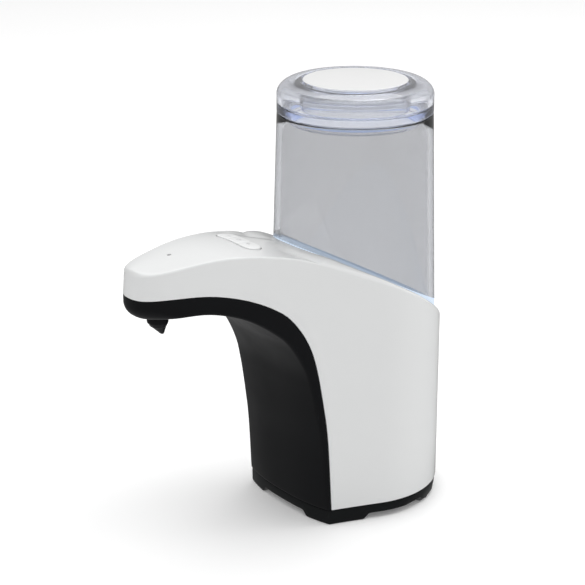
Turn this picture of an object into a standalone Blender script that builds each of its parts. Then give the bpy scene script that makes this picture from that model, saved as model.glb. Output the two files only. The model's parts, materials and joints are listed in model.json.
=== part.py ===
"""Touchless countertop soap dispenser: clear reservoir over a white teardrop body, black front, gear pump inside.

Metres, +Z up. The origin is on the table under the middle of the object. The nose points along -Y and
the plane X = 0 is the plane of symmetry of the outside.
"""

import math

import bmesh
import bpy
import numpy as np
from mathutils import Matrix, Vector

MM = 0.001

# Driving dimensions
REAR_RADIUS = 43.0 * MM        # plan radius of the body's round back
NOSE_REACH = 129.15 * MM       # reservoir axis to the tip of the nose
FOOT_HEIGHT = 8.0 * MM         # table to the lower edge of the white shell
AXIS_Y = (NOSE_REACH - REAR_RADIUS) / 2
WALL = 2.0 * MM                # moulded wall of the shell and the cover
GAP = 0.3 * MM                 # clearance between touching pieces
CROWN = 1.94 * MM              # rise of the arm's top from its edges to its middle

# Plan outline: one cubic from the nose tip to the round back, per side
NOSE_HANDLE = 20.0 * MM
FLANK_HANDLE = 95.8 * MM
FLANK_ANGLE = 0.325

# Side lines, (distance behind the reservoir axis, height over the shell's lower edge), in millimetres
TOP_LINE = ((-131, 130.2), (-115, 132.3), (-98, 134.3), (-84.5, 134.5), (-70, 133.1), (-54, 130), (-39, 124.5),
            (-23.6, 117.8), (-8, 111), (7, 103), (22, 93.1), (45, 77))
SEAM_LINE = ((-131, 118.9), (-115, 118.9), (-100, 118.2), (-88.5, 116.1), (-77, 112.4), (-66, 107), (-58, 100.7),
             (-50.5, 89.5), (-46, 76.5), (-42.2, 55), (-39.9, 36), (-38, 0))
UNDER_LINE = ((-131, 111.6), (-115, 110.6), (-100, 109.7), (-88.6, 107.4), (-77, 102.8), (-65.6, 95.2),
              (-57.8, 87.6), (-50.6, 74.8), (-47, 63), (-43.6, 46), (-40.9, 28), (-38.8, 0))
FRONT_BULGE = 5.2 * MM         # how far the middle of the front stands ahead of its side edges at the base
ARM_BULGE = 1.2 * MM           # the same for the underside of the arm

# Reservoir and lid
TANK_TOP_RADIUS = 37.5 * MM
TANK_TAPER = 0.028             # growth of the radius per unit of depth
TANK_TOP = 186.4 * MM + FOOT_HEIGHT
TANK_WALL = 2.8 * MM
TANK_FLOOR = 100.5 * MM + FOOT_HEIGHT   # height of the slanted floor's underside on the axis
TANK_SLOPE = 0.545             # fall of the slanted floor towards the back
SPIGOT_BACK = 30.0 * MM        # outlet spigot, behind the axis
SPIGOT_RADIUS = 5.0 * MM
SPIGOT_END = 74.0 * MM + FOOT_HEIGHT
LID_TOP = 202.2 * MM + FOOT_HEIGHT
LID_DISC_RADIUS = 25.2 * MM
PLUG_RADIUS = 33.2 * MM
PLUG_DEPTH = 4.4 * MM
WELL_RADIUS = 24.4 * MM         # skirt that hangs inside the lid under the disc

# Keys on the arm
KEY_PITCH = 9.7 * MM
KEY_GAP = 0.4 * MM
KEY_DEPTH = 9.2 * MM
KEY_BACK = -68.4 * MM
KEY_TILT = math.radians(-7.0)
KEY_PROUD = 0.7 * MM

# Nozzle and sensor under the nose
NOZZLE_BACK = -113.8 * MM
NOZZLE_RADIUS = 5.0 * MM
SENSOR_BACK = -96.0 * MM
SENSOR_HALF = (9.0 * MM, 4.0 * MM)
LENS_BACK = -106.8 * MM

# Battery box and door
CELL_RADIUS = 7.1 * MM
CELL_LENGTH = 49.2 * MM
CELL_PITCH = 15.2 * MM
CELL_BACK = -2.0 * MM
CELL_BOTTOM = 2.6 * MM + FOOT_HEIGHT
BOX_HALF = (32.0 * MM, 9.2 * MM)
BOX_TOP = 60.0 * MM + FOOT_HEIGHT
PLATE_BOTTOM = 3.0 * MM        # underside of the base plate over the table
FOOT_BOTTOM = 1.0 * MM

# Pump drive
MOTOR_X = -10.0 * MM
DRIVE_BACK = -24.0 * MM
GEAR_MODULE = 0.6 * MM
PINION_TEETH = 10
GEAR_TEETH = 40
ROTOR_MODULE = 1.5 * MM
ROTOR_TEETH = 8
GEAR_Z = 51.5 * MM + FOOT_HEIGHT
PUMP_Z = 60.5 * MM + FOOT_HEIGHT
PUMP_HEIGHT = 13.0 * MM
DRIVE_X = MOTOR_X + GEAR_MODULE * (PINION_TEETH + GEAR_TEETH) / 2
IDLER_X = DRIVE_X + ROTOR_MODULE * ROTOR_TEETH

MATERIALS = {
    "white_gloss": ((0.86, 0.87, 0.87), 0.18, 0.0),
    "black_satin": ((0.018, 0.019, 0.021), 0.42, 0.0),
    "clear": ((0.80, 0.83, 0.88), 0.05, 0.0),
    "rubber": ((0.03, 0.03, 0.03), 0.8, 0.0),
    "silicone": ((0.75, 0.77, 0.78), 0.5, 0.0),
    "nylon": ((0.78, 0.76, 0.70), 0.45, 0.0),
    "steel": ((0.62, 0.62, 0.64), 0.3, 1.0),
    "nickel": ((0.72, 0.70, 0.66), 0.28, 1.0),
    "board": ((0.02, 0.16, 0.07), 0.45, 0.0),
    "cell": ((0.10, 0.12, 0.16), 0.35, 0.3),
    "grey_plastic": ((0.32, 0.33, 0.34), 0.5, 0.0),
    "lamp": ((0.6, 0.75, 0.9), 0.1, 0.0),
}


# ---- scene and object helpers ----

def clear_scene():
    for old in list(bpy.data.objects):
        bpy.data.objects.remove(old)


def new_collection(name):
    made = bpy.data.collections.new(name)
    bpy.context.scene.collection.children.link(made)
    return made


def finish_of(name):
    """The named material, made on first use."""
    found = bpy.data.materials.get(name)
    if found:
        return found
    colour, roughness, metallic = MATERIALS[name]
    made = bpy.data.materials.new(name)
    made.use_nodes = True
    shader = made.node_tree.nodes["Principled BSDF"]
    shader.inputs["Base Color"].default_value = (*colour, 1)
    shader.inputs["Roughness"].default_value = roughness
    shader.inputs["Metallic"].default_value = metallic
    return made


def at(x, back, z):
    """A place given from the reservoir axis: x to the side, back behind the axis, z over the table."""
    return Vector((x, AXIS_Y + back, z))


def add(name, mesh, finish, place=(0, 0, 0)):
    """A new part in the object's collection, or a cutter when finish is None."""
    made = bpy.data.objects.new(name, mesh)
    made.location = place
    if finish is None:
        CUTTERS.objects.link(made)
        made.hide_render = True
        made.display_type = "WIRE"
    else:
        PARTS.objects.link(made)
        mesh.materials.append(finish_of(finish))
    return made


def mesh_from(name, bm):
    bmesh.ops.recalc_face_normals(bm, faces=bm.faces)
    mesh = bpy.data.meshes.new(name)
    bm.to_mesh(mesh)
    bm.free()
    return mesh


def smooth(obj, angle=35):
    obj.data.shade_smooth()
    obj.data.set_sharp_from_angle(angle=math.radians(angle))


def block(name, low, high, finish, bevel=0.0, segments=2):
    """A box between two corners, with its origin at its middle and its edges rounded by bevel."""
    low, high = Vector(low), Vector(high)
    bm = bmesh.new()
    bmesh.ops.create_cube(bm, size=1)
    bmesh.ops.scale(bm, vec=high - low, verts=bm.verts)
    made = add(name, mesh_from(name, bm), finish, (low + high) / 2)
    if bevel:
        round_edges(made, bevel, segments)
    return made


def rod(name, radius, start, end, finish, sides=20, end_radius=None):
    """A cylinder or cone from start to end, with its origin at its middle."""
    start, end = Vector(start), Vector(end)
    along = end - start
    bm = bmesh.new()
    bmesh.ops.create_cone(bm, cap_ends=True, segments=sides, radius1=radius,
                          radius2=radius if end_radius is None else end_radius, depth=along.length)
    bmesh.ops.rotate(bm, verts=bm.verts, matrix=along.to_track_quat("Z", "Y").to_matrix())
    made = add(name, mesh_from(name, bm), finish, (start + end) / 2)
    if finish is not None:
        smooth(made)
    return made


def turned(name, profile, finish, place, steps=32):
    """A solid turned about a vertical axis at place: profile is (radius, height) down the outer side."""
    bm = bmesh.new()
    points = [bm.verts.new((radius, 0, z)) for radius, z in profile]
    for first, second in zip(points, points[1:]):
        bm.edges.new((first, second))
    mesh = bpy.data.meshes.new(name)
    bm.to_mesh(mesh)
    bm.free()
    made = add(name, mesh, finish, place)
    screw = made.modifiers.new("turn", "SCREW")
    screw.steps = steps
    screw.render_steps = steps
    screw.use_merge_vertices = True
    screw.merge_threshold = 0.00005
    screw.use_smooth_shade = True
    return made


def ring(outline):
    """The profile closed on itself, for a turned piece with a hole."""
    return tuple(outline) + (outline[0],)


def flat_piece(name, outline, low, high, finish):
    """A flat outline (x, y) filled and extruded between two heights, as a mesh."""
    curve = bpy.data.curves.new(name, "CURVE")
    curve.dimensions = "2D"
    curve.fill_mode = "BOTH"
    curve.extrude = (high - low) / 2
    line = curve.splines.new("POLY")
    line.points.add(len(outline) - 1)
    line.points.foreach_set("co", [c for x, y in outline for c in (x, y, 0, 1)])
    line.use_cyclic_u = True
    return as_mesh(name, curve, finish, (0, 0, (low + high) / 2))


def as_mesh(name, curve, finish, place):
    """The curve made a welded mesh object, so that it can be cut."""
    guide = bpy.data.objects.new(name + "_guide", curve)
    bpy.context.scene.collection.objects.link(guide)
    guide.location = place
    graph = bpy.context.evaluated_depsgraph_get()
    mesh = bpy.data.meshes.new_from_object(guide.evaluated_get(graph))
    bm = bmesh.new()
    bm.from_mesh(mesh)
    bmesh.ops.remove_doubles(bm, verts=bm.verts, dist=0.000001)
    bmesh.ops.recalc_face_normals(bm, faces=bm.faces)
    bm.to_mesh(mesh)
    bm.free()
    bpy.data.objects.remove(guide)
    mesh.name = name
    return add(name, mesh, finish, place)


def wire(name, route, radius, finish, resolution=2, capped=True):
    """A round wire along a route of points, or an open tube when it isn't capped."""
    curve = bpy.data.curves.new(name, "CURVE")
    curve.dimensions = "3D"
    curve.bevel_depth = radius
    curve.bevel_resolution = resolution
    curve.use_fill_caps = capped
    line = curve.splines.new("POLY")
    line.points.add(len(route) - 1)
    line.points.foreach_set("co", [c for point in route for c in (*point, 1)])
    return as_mesh(name, curve, finish, (0, 0, 0))


def lofted(name, rings, finish, place=(0, 0, 0)):
    """A closed solid through rings that have the same number of points, capped at both ends."""
    bm = bmesh.new()
    rows = [[bm.verts.new(point) for point in points] for points in rings]
    count = len(rows[0])
    for low, high in zip(rows, rows[1:]):
        for i in range(count):
            j = (i + 1) % count
            bm.faces.new((low[i], low[j], high[j], high[i]))
    bm.faces.new(rows[0][::-1])
    bm.faces.new(rows[-1])
    return add(name, mesh_from(name, bm), finish, place)


def round_edges(obj, width, segments=2, angle=40):
    bevel = obj.modifiers.new("round", "BEVEL")
    bevel.width = width
    bevel.segments = segments
    bevel.limit_method = "ANGLE"
    bevel.angle_limit = math.radians(angle)


def boolean(target, other, operation):
    change = target.modifiers.new(operation.lower(), "BOOLEAN")
    change.operation = operation
    change.solver = "EXACT"
    change.object = other
    return target


def cut(target, *others):
    for other in others:
        boolean(target, other, "DIFFERENCE")
    return target


def join(target, *others):
    for other in others:
        boolean(target, other, "UNION")
    return target


# ---- curves that several pieces share ----

def through(points, count):
    """A smooth line through points: count places along a Catmull-Rom curve, as an array."""
    p = np.array(points, float)
    p = np.vstack([2 * p[0] - p[1], p, 2 * p[-1] - p[-2]])
    spans = len(p) - 3
    out = []
    for step in np.linspace(0, spans, count):
        i = min(int(step), spans - 1)
        t = step - i
        a, b, c, d = p[i:i + 4]
        out.append(0.5 * (2 * b + (c - a) * t + (2 * a - 5 * b + 4 * c - d) * t**2 + (3 * b - a - 3 * c + d) * t**3))
    return np.array(out)


def side_line(points, count=31):
    """A side line of the body in metres, (back, height over the table)."""
    return through(points, count) * MM + (0, FOOT_HEIGHT)


def height_on(line, back):
    return float(np.interp(back, line[:, 0], line[:, 1]))


def flank(count=23):
    """One side of the plan from the nose tip to the round back: (half width, back)."""
    end = REAR_RADIUS * np.array([math.cos(FLANK_ANGLE), -math.sin(FLANK_ANGLE)])
    along = np.array([math.sin(FLANK_ANGLE), math.cos(FLANK_ANGLE)])
    handles = (np.array([0, -NOSE_REACH]), np.array([NOSE_HANDLE, -NOSE_REACH]), end - FLANK_HANDLE * along, end)
    t = np.linspace(0, 1, count)[:, None] ** 1.25
    weights = ((1 - t)**3, 3 * (1 - t)**2 * t, 3 * (1 - t) * t**2, t**3)
    return sum(w * h for w, h in zip(weights, handles))


def plan(inset=0.0, arc_steps=13):
    """The closed plan outline, moved inwards by inset, as (x, y) points."""
    side = flank()
    arc = [(REAR_RADIUS * math.cos(a), -REAR_RADIUS * math.sin(a))
           for a in np.linspace(FLANK_ANGLE, -math.pi / 2, arc_steps)[1:]]
    half = np.vstack([side, arc])
    step = np.gradient(half, axis=0)
    inward = np.column_stack([-step[:, 1], step[:, 0]]) / np.linalg.norm(step, axis=1)[:, None]
    inward[0], inward[-1] = (0, 1), (0, -1)
    half = half + inset * inward
    half[0, 0], half[-1, 0] = 0, 0
    mirrored = half[-2:0:-1] * (-1, 1)
    return [(x, y + AXIS_Y) for x, y in np.vstack([half, mirrored])]


def half_width(back):
    """Half the body's width at a distance behind the reservoir axis."""
    if back > -REAR_RADIUS * math.sin(FLANK_ANGLE):
        return math.sqrt(max(REAR_RADIUS**2 - back**2, 0))
    side = flank(60)
    return float(np.interp(back, side[:, 1], side[:, 0]))


def body_prism(name, inset=0.0):
    return flat_piece(name, plan(inset), -5 * MM, 170 * MM, None)


def across(count=9):
    return np.linspace(-1, 1, count)


# ---- shell and cover ----

def top_block(name, lowered):
    """Everything under the crowned top of the body, the top lowered by a wall."""
    line = side_line(TOP_LINE, 31)
    rings = []
    for back, height in line:
        width = half_width(back) + 1 * MM
        top = [(u * width, back + AXIS_Y, height + CROWN * (1 - u * u) - lowered) for u in across()]
        rings.append(top + [(width, back + AXIS_Y, -8 * MM), (-width, back + AXIS_Y, -8 * MM)])
    return lofted(name, rings, None)


def upper_body(name):
    """The region above and behind the seam line, as a prism across the whole width."""
    seam = side_line(SEAM_LINE)
    outline = [(back, z) for back, z in seam]
    rings = []
    for x in (-60 * MM, 60 * MM):
        loop = [(x, back + AXIS_Y, z) for back, z in outline]
        loop += [(x, AXIS_Y + 60 * MM, outline[-1][1]), (x, AXIS_Y + 60 * MM, 180 * MM),
                 (x, AXIS_Y - 140 * MM, 180 * MM), (x, AXIS_Y - 140 * MM, outline[0][1])]
        rings.append(loop)
    return lofted(name, rings, None)


def tank_radius(z):
    return TANK_TOP_RADIUS + TANK_TAPER * (TANK_TOP - z)


def tank_cone(name, grow, low, high, finish=None):
    return rod(name, tank_radius(low) + grow, at(0, 0, low), at(0, 0, high), finish, 56,
               tank_radius(high) + grow)


SCREW_PLACES = ((-29.5 * MM, -26 * MM), (29.5 * MM, -26 * MM), (-24 * MM, 29.5 * MM), (24 * MM, 29.5 * MM))


def make_upper_shell():
    shell = body_prism("upper_shell_blank")
    shell.name = "upper_shell"
    CUTTERS.objects.unlink(shell)
    PARTS.objects.link(shell)
    shell.hide_render = False
    shell.display_type = "TEXTURED"
    shell.data.materials.append(finish_of("white_gloss"))
    boolean(shell, top_block("shell_top", 0), "INTERSECT")
    boolean(shell, upper_body("shell_region"), "INTERSECT")
    hollow = body_prism("shell_inside", WALL)
    boolean(hollow, top_block("shell_ceiling", WALL), "INTERSECT")
    cut(shell, hollow)
    for i, (x, back) in enumerate(SCREW_PLACES):
        rib_end = x + math.copysign(6 * MM, x) if back < 0 else x
        join(shell, rod(f"boss_{i}", 3.6 * MM, at(x, back, FOOT_HEIGHT + 1 * MM), at(x, back, 34 * MM), None, 16),
             block(f"boss_rib_{i}", at(min(x, rib_end) - 0.8 * MM, back - 0.8 * MM, FOOT_HEIGHT + 1.5 * MM),
                   at(max(x, rib_end) + 0.8 * MM, back + 0.8 * MM, 33 * MM), None))
        cut(shell, rod(f"boss_bore_{i}", 1.6 * MM, at(x, back, FOOT_HEIGHT), at(x, back, 26 * MM), None, 16))
    cut(shell, tank_cone("tank_clearance", GAP, 60 * MM, 190 * MM))
    cut(shell, key_opening(), rod("lens_hole", 1.6 * MM, at(0, LENS_BACK, 130 * MM), at(0, LENS_BACK, 150 * MM), None))
    smooth(shell, 30)


def cover_slab(name, inward, beyond):
    """The solid between the front and underside surface, moved inwards, and the seam line, moved beyond."""
    seam = side_line(SEAM_LINE)
    under = side_line(UNDER_LINE)
    slope = np.gradient(under, axis=0)
    normal = np.column_stack([-slope[:, 1], slope[:, 0]]) / np.linalg.norm(slope, axis=1)[:, None]
    normal *= np.sign(np.sum((seam - under) * normal, axis=1))[:, None]
    rings = []
    for i, (low, high, away) in enumerate(zip(under, seam, normal)):
        depth = 1 - (low[1] - FOOT_HEIGHT) / (111 * MM)
        bulge = ARM_BULGE + (FRONT_BULGE - ARM_BULGE) * max(depth, 0) ** 0.7
        width = half_width(low[0]) + 2 * MM
        front = [low + away * (inward - bulge * (1 - u * u)) for u in across(9)]
        row = [(u * width, y + AXIS_Y, z) for u, (y, z) in zip(across(9), front)]
        back = high + away * beyond
        row += [(width, back[0] + AXIS_Y, back[1]), (-width, back[0] + AXIS_Y, back[1])]
        rings.append(row)
    return rings


def make_front_cover():
    rings = cover_slab("cover_slab", 0, -GAP)
    cover = lofted("front_cover", rings, "black_satin")
    boolean(cover, body_prism("cover_outline"), "INTERSECT")
    inside = lofted("cover_inside", cover_slab("inside", WALL, 12 * MM), None)
    boolean(inside, body_prism("cover_inside_outline", WALL), "INTERSECT")
    cut(cover, inside)
    cut(cover, block("cover_foot_trim", at(-60 * MM, -80 * MM, -20 * MM), at(60 * MM, 60 * MM, FOOT_HEIGHT), None))
    cut(cover, rod("nozzle_hole", NOZZLE_RADIUS + GAP, at(0, NOZZLE_BACK, 100 * MM), at(0, NOZZLE_BACK, 124 * MM),
                   None, 24))
    half_x, half_y = SENSOR_HALF
    cut(cover, block("sensor_hole", at(-half_x - GAP, SENSOR_BACK - half_y - GAP, 100 * MM),
                     at(half_x + GAP, SENSOR_BACK + half_y + GAP, 124 * MM), None))
    smooth(cover, 30)


# ---- reservoir and lid ----

def slanted(name, rise):
    """A wide wedge under the plane of the reservoir floor, raised by rise."""
    reach = 60 * MM
    rings = []
    for x in (-reach, reach):
        front = TANK_FLOOR + rise + TANK_SLOPE * reach
        back = TANK_FLOOR + rise - TANK_SLOPE * reach
        rings.append([at(x, -reach, 0), at(x, reach, 0), at(x, reach, back), at(x, -reach, front)])
    return lofted(name, rings, None)


def make_reservoir():
    tank = tank_cone("reservoir", 0, 70 * MM, TANK_TOP, "clear")
    cut(tank, slanted("tank_below", 0))
    inside = tank_cone("tank_inside", -TANK_WALL, 60 * MM, TANK_TOP + 20 * MM)
    cut(inside, slanted("tank_floor_cut", 2.6 * MM))
    cut(tank, inside)
    spigot_top = TANK_FLOOR - TANK_SLOPE * SPIGOT_BACK
    join(tank, rod("spigot", SPIGOT_RADIUS, at(0, SPIGOT_BACK, SPIGOT_END + 4 * MM),
                   at(0, SPIGOT_BACK, spigot_top + 1.5 * MM), None),
         rod("spigot_barb", 1.7 * MM, at(0, SPIGOT_BACK, SPIGOT_END + 1.4 * MM), at(0, SPIGOT_BACK, SPIGOT_END + 5 * MM), None))
    cut(tank, rod("spigot_bore", 1.1 * MM, at(0, SPIGOT_BACK, SPIGOT_END - 5 * MM),
                  at(0, SPIGOT_BACK, spigot_top + 8 * MM), None, 16))
    smooth(tank)


def make_lid():
    """Clear cap: rounded shoulder, raised rim round the disc, and a plug ring that enters the reservoir."""
    outer = TANK_TOP_RADIUS
    base = TANK_TOP + GAP
    shoulder = base + 8.6 * MM
    top = LID_TOP - 1.4 * MM
    rim = LID_DISC_RADIUS + 2.2 * MM
    profile = [(0, top), (rim - 1.2 * MM, top), (rim, top - 0.8 * MM)]
    profile += [(rim + (outer - rim) * math.sin(a), shoulder + (top - 0.8 * MM - shoulder) * math.cos(a))
                for a in np.linspace(0.25, math.pi / 2, 5)]
    roof = top - 2.6 * MM
    profile += [(outer, base), (PLUG_RADIUS, base), (PLUG_RADIUS, base - PLUG_DEPTH),
                (PLUG_RADIUS - 2 * MM, base - PLUG_DEPTH), (PLUG_RADIUS - 2 * MM, shoulder),
                (WELL_RADIUS + 3.6 * MM, roof - 1 * MM), (WELL_RADIUS + 1.6 * MM, roof - 1 * MM),
                (WELL_RADIUS + 1.6 * MM, base + 1 * MM), (WELL_RADIUS, base + 1 * MM), (WELL_RADIUS, roof), (0, roof)]
    turned("lid", profile, "clear", at(0, 0, 0), 48)
    groove = base - 2.9 * MM
    wide = tank_radius(groove) - TANK_WALL - 0.15 * MM
    turned("lid_seal", ring([(wide, groove + 0.9 * MM), (wide, groove - 0.9 * MM),
                             (PLUG_RADIUS + GAP, groove - 0.9 * MM), (PLUG_RADIUS + GAP, groove + 0.9 * MM)]),
           "silicone", at(0, 0, 0), 48)
    disc = LID_TOP
    turned("lid_disc", [(0, disc), (LID_DISC_RADIUS - 0.6 * MM, disc), (LID_DISC_RADIUS, disc - 0.5 * MM),
                        (LID_DISC_RADIUS, top + GAP), (0, top + GAP)], "white_gloss", at(0, 0, 0), 48)


# ---- keys and lens ----

def key_surface():
    """Height of the arm's top in the middle of the keys."""
    return height_on(side_line(TOP_LINE, 200), KEY_BACK) + CROWN


def stadium(half_length, half_depth, steps=8):
    """A flat outline with round ends, along X."""
    straight = half_length - half_depth
    right = [(straight + half_depth * math.sin(a), -half_depth * math.cos(a))
             for a in np.linspace(0, math.pi, steps + 1)]
    left = [(-x, -y) for x, y in right]
    return right + left


def tilted(obj):
    """Turns a piece made round the origin onto the sloping top of the arm under the keys."""
    obj.rotation_euler = (KEY_TILT, 0, 0)
    obj.location = at(0, KEY_BACK, key_surface())
    return obj


def key_opening():
    half = 1.5 * KEY_PITCH
    return tilted(flat_piece("key_opening", stadium(half + GAP, KEY_DEPTH / 2 + GAP), -12 * MM, 12 * MM, None))


def make_keys():
    for name, slot in (("key_minus", -1), ("key_power", 0), ("key_plus", 1)):
        half = 1.5 * KEY_PITCH
        key = flat_piece(name, stadium(half, KEY_DEPTH / 2), -3.2 * MM, KEY_PROUD, "white_gloss")
        bring_origin(key)
        low_x = (slot - 0.5) * KEY_PITCH + (KEY_GAP / 2 if slot > -1 else -5 * MM)
        high_x = (slot + 0.5) * KEY_PITCH - (KEY_GAP / 2 if slot < 1 else -5 * MM)
        keep = block(name + "_slot", (low_x, -10 * MM, -8 * MM), (high_x, 10 * MM, 8 * MM), None)
        bring_origin(keep)
        tilted(keep)
        tilted(key)
        boolean(key, keep, "INTERSECT")
        lip = block(name + "_lip", (max(low_x, -half + 1 * MM), -KEY_DEPTH / 2 - 0.9 * MM, -3.6 * MM),
                    (min(high_x, half - 1 * MM), KEY_DEPTH / 2 + 0.9 * MM, -2.8 * MM), None)
        bring_origin(lip)
        join(key, tilted(lip))


def bring_origin(obj):
    """Moves an object's place into its mesh, so that its origin is at the world's."""
    obj.data.transform(Matrix.Translation(obj.location))
    obj.location = (0, 0, 0)


def make_control_board():
    board = block("control_board", (-16 * MM, -7 * MM, -10.2 * MM), (16 * MM, 7 * MM, -8.6 * MM), "board")
    bring_origin(board)
    tilted(board)
    for name, slot in (("switch_minus", -1), ("switch_power", 0), ("switch_plus", 1)):
        x = slot * KEY_PITCH
        switch = block(name, (x - 3 * MM, -3 * MM, -8.3 * MM), (x + 3 * MM, 3 * MM, -5.6 * MM), "grey_plastic")
        bring_origin(switch)
        stem = rod(name + "_stem", 1.4 * MM, (x, 0, -6 * MM), (x, 0, -4.6 * MM), None, 12)
        bring_origin(stem)
        join(tilted(switch), tilted(stem))


def make_status_lens():
    surface = height_on(side_line(TOP_LINE, 200), LENS_BACK) + CROWN
    turned("status_lens", [(0, surface + 0.2 * MM), (0.9 * MM, surface + 0.1 * MM), (1.25 * MM, surface - 0.4 * MM),
                           (1.25 * MM, surface - 4 * MM), (2.2 * MM, surface - 4 * MM), (2.2 * MM, surface - 5 * MM),
                           (0, surface - 5 * MM)], "lamp", at(0, LENS_BACK, 0), 20)


# ---- nozzle and sensor ----

def circle(centre_x, centre_y, radius, z, sides=20):
    return [(centre_x + radius * math.cos(a), centre_y + radius * math.sin(a), z)
            for a in np.linspace(0, 2 * math.pi, sides, endpoint=False)]


def make_nozzle():
    """Round collar that narrows to an off-centre beak; a flange holds it inside the cover."""
    base = FOOT_HEIGHT
    steps = ((119.0, 1.9, 0), (115.4, 1.9, 0), (115.3, 7.4, 0), (113.9, 7.4, 0), (113.8, 5.0, 0), (104.2, 5.0, 0),
             (102.7, 3.8, 0.6), (98.0, 0.9, 2.6))
    rings = [circle(0, AXIS_Y + NOZZLE_BACK + shift * MM, radius * MM, z * MM + base) for z, radius, shift in steps]
    nozzle = lofted("nozzle", rings[::-1], "black_satin")
    tip = at(0, NOZZLE_BACK + 2.6 * MM, 0)
    cut(nozzle, rod("nozzle_bore", 1.1 * MM, at(0, NOZZLE_BACK, 104 * MM + base), at(0, NOZZLE_BACK, 122 * MM + base),
                    None, 16),
        rod("nozzle_chamber", 2.8 * MM, at(0, NOZZLE_BACK, 105.6 * MM + base), at(0, NOZZLE_BACK, 113 * MM + base),
            None, 20),
        rod("nozzle_outlet", 0.45 * MM, tip + Vector((0, 0, 90 * MM)),
            at(0, NOZZLE_BACK + 0.6 * MM, 108 * MM + base), None, 16))
    smooth(nozzle)
    valve_top = 112.6 * MM + base
    turned("nozzle_valve", ring([(2.4 * MM, valve_top), (2.4 * MM, valve_top - 1.2 * MM), (1.4 * MM, valve_top - 5.6 * MM),
                                 (0.5 * MM, valve_top - 5.6 * MM), (0.9 * MM, valve_top)]),
           "silicone", at(0, NOZZLE_BACK, 0), 20)


def make_sensor():
    half_x, half_y = SENSOR_HALF
    skin = height_on(side_line(UNDER_LINE, 200), SENSOR_BACK)
    low = skin - ARM_BULGE
    block("sensor_window", at(-half_x, SENSOR_BACK - half_y, low - 0.2 * MM),
          at(half_x, SENSOR_BACK + half_y, low + 2.6 * MM), "black_satin", 0.5 * MM)
    for name, x in (("ir_emitter", -4.5 * MM), ("ir_receiver", 4.5 * MM)):
        turned(name, [(0, low + 8.6 * MM), (2.4 * MM, low + 8.6 * MM), (2.4 * MM, low + 4.6 * MM),
                      (1.7 * MM, low + 3.4 * MM), (0, low + 3.0 * MM)], "lamp", at(x, SENSOR_BACK, 0), 16)
    block("sensor_board", at(-10 * MM, SENSOR_BACK - 5.5 * MM, low + 8.9 * MM),
          at(10 * MM, SENSOR_BACK + 5.5 * MM, low + 10.2 * MM), "board")


# ---- base, feet and battery ----

FRONT_FOOT = (17.0 * MM, -46 * MM, 48 * MM, -21.5 * MM)
REAR_FOOT = (25.0 * MM, 13 * MM, 46 * MM, 34 * MM)


def base_outline(inset):
    """The base's plan: the round back and tapered sides, closed by the bowed front face."""
    sides = [(x, y) for x, y in plan(inset) if y - AXIS_Y > -37 * MM]
    width = half_width(-38 * MM) - inset
    front = [(width * u, AXIS_Y - 38 * MM - (FRONT_BULGE + 0.8 * MM) * (1 - u * u) + inset)
             for u in np.linspace(-1, 1, 13)]
    return front + sides


def foot_blocks(tag, low, high):
    blocks = []
    for side in (-1, 1):
        for name, (x0, back0, x1, back1) in (("front", FRONT_FOOT), ("rear", REAR_FOOT)):
            xs = sorted((side * x0, side * x1))
            blocks.append(block(f"{tag}_{name}_{side}", at(xs[0], back0, low), at(xs[1], back1, high), None))
    return blocks


def make_base_plate():
    top = FOOT_HEIGHT - GAP
    plate = flat_piece("base_plate", base_outline(1.0 * MM), PLATE_BOTTOM, top, "black_satin")
    for i, corner in enumerate(foot_blocks("foot", FOOT_BOTTOM, PLATE_BOTTOM + 1 * MM)):
        boolean(corner, flat_piece(f"foot_outline_{i}", base_outline(0.6 * MM), -1 * MM, top - 1 * MM, None),
                "INTERSECT")
        join(plate, corner)
    half_x, half_y = BOX_HALF
    cut(plate, block("door_opening", at(-half_x - GAP, CELL_BACK - half_y - 3 * MM, -5 * MM),
                     at(half_x + GAP, CELL_BACK + half_y + 3 * MM, 20 * MM), None))
    for i, (x, back) in enumerate(SCREW_PLACES):
        cut(plate, rod(f"screw_hole_{i}", 1.8 * MM, at(x, back, -2 * MM), at(x, back, 12 * MM), None, 16),
            rod(f"screw_recess_{i}", 3.2 * MM, at(x, back, -2 * MM), at(x, back, 5.4 * MM), None, 20))
    smooth(plate, 30)


def make_foot_pads():
    names = ("foot_pad_1", "foot_pad_2", "foot_pad_3", "foot_pad_4")
    places = [(side * x, back) for side in (-1, 1) for x, back in ((22 * MM, -36 * MM), (33.5 * MM, 18 * MM))]
    for name, (x, back) in zip(names, places):
        turned(name, [(0, FOOT_BOTTOM - GAP), (3.2 * MM, FOOT_BOTTOM - GAP), (3.4 * MM, 0.4 * MM), (3.2 * MM, 0),
                      (0, 0)], "rubber", at(x, back, 0), 24)


def make_screws():
    for i, (x, back) in enumerate(SCREW_PLACES):
        turned(f"base_screw_{i + 1}", [(0, 20 * MM), (1.2 * MM, 19 * MM), (1.2 * MM, 5.1 * MM), (2.8 * MM, 5.1 * MM),
                                       (2.8 * MM, 3.6 * MM), (1.2 * MM, 3.4 * MM), (0.9 * MM, 4.4 * MM),
                                       (0, 4.4 * MM)], "steel", at(x, back, 0), 16)


def make_battery_box():
    half_x, half_y = BOX_HALF
    box = block("battery_box", at(-half_x, CELL_BACK - half_y, FOOT_HEIGHT + 0.6 * MM),
                at(half_x, CELL_BACK + half_y, BOX_TOP), "grey_plastic")
    wall = 1.4 * MM
    cut(box, block("box_inside", at(-half_x + wall, CELL_BACK - half_y + wall, 0),
                   at(half_x - wall, CELL_BACK + half_y - wall, BOX_TOP - 1.6 * MM), None))
    return box


def cell_places():
    return [(slot * CELL_PITCH, CELL_BACK) for slot in (-1.5, -0.5, 0.5, 1.5)]


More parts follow.
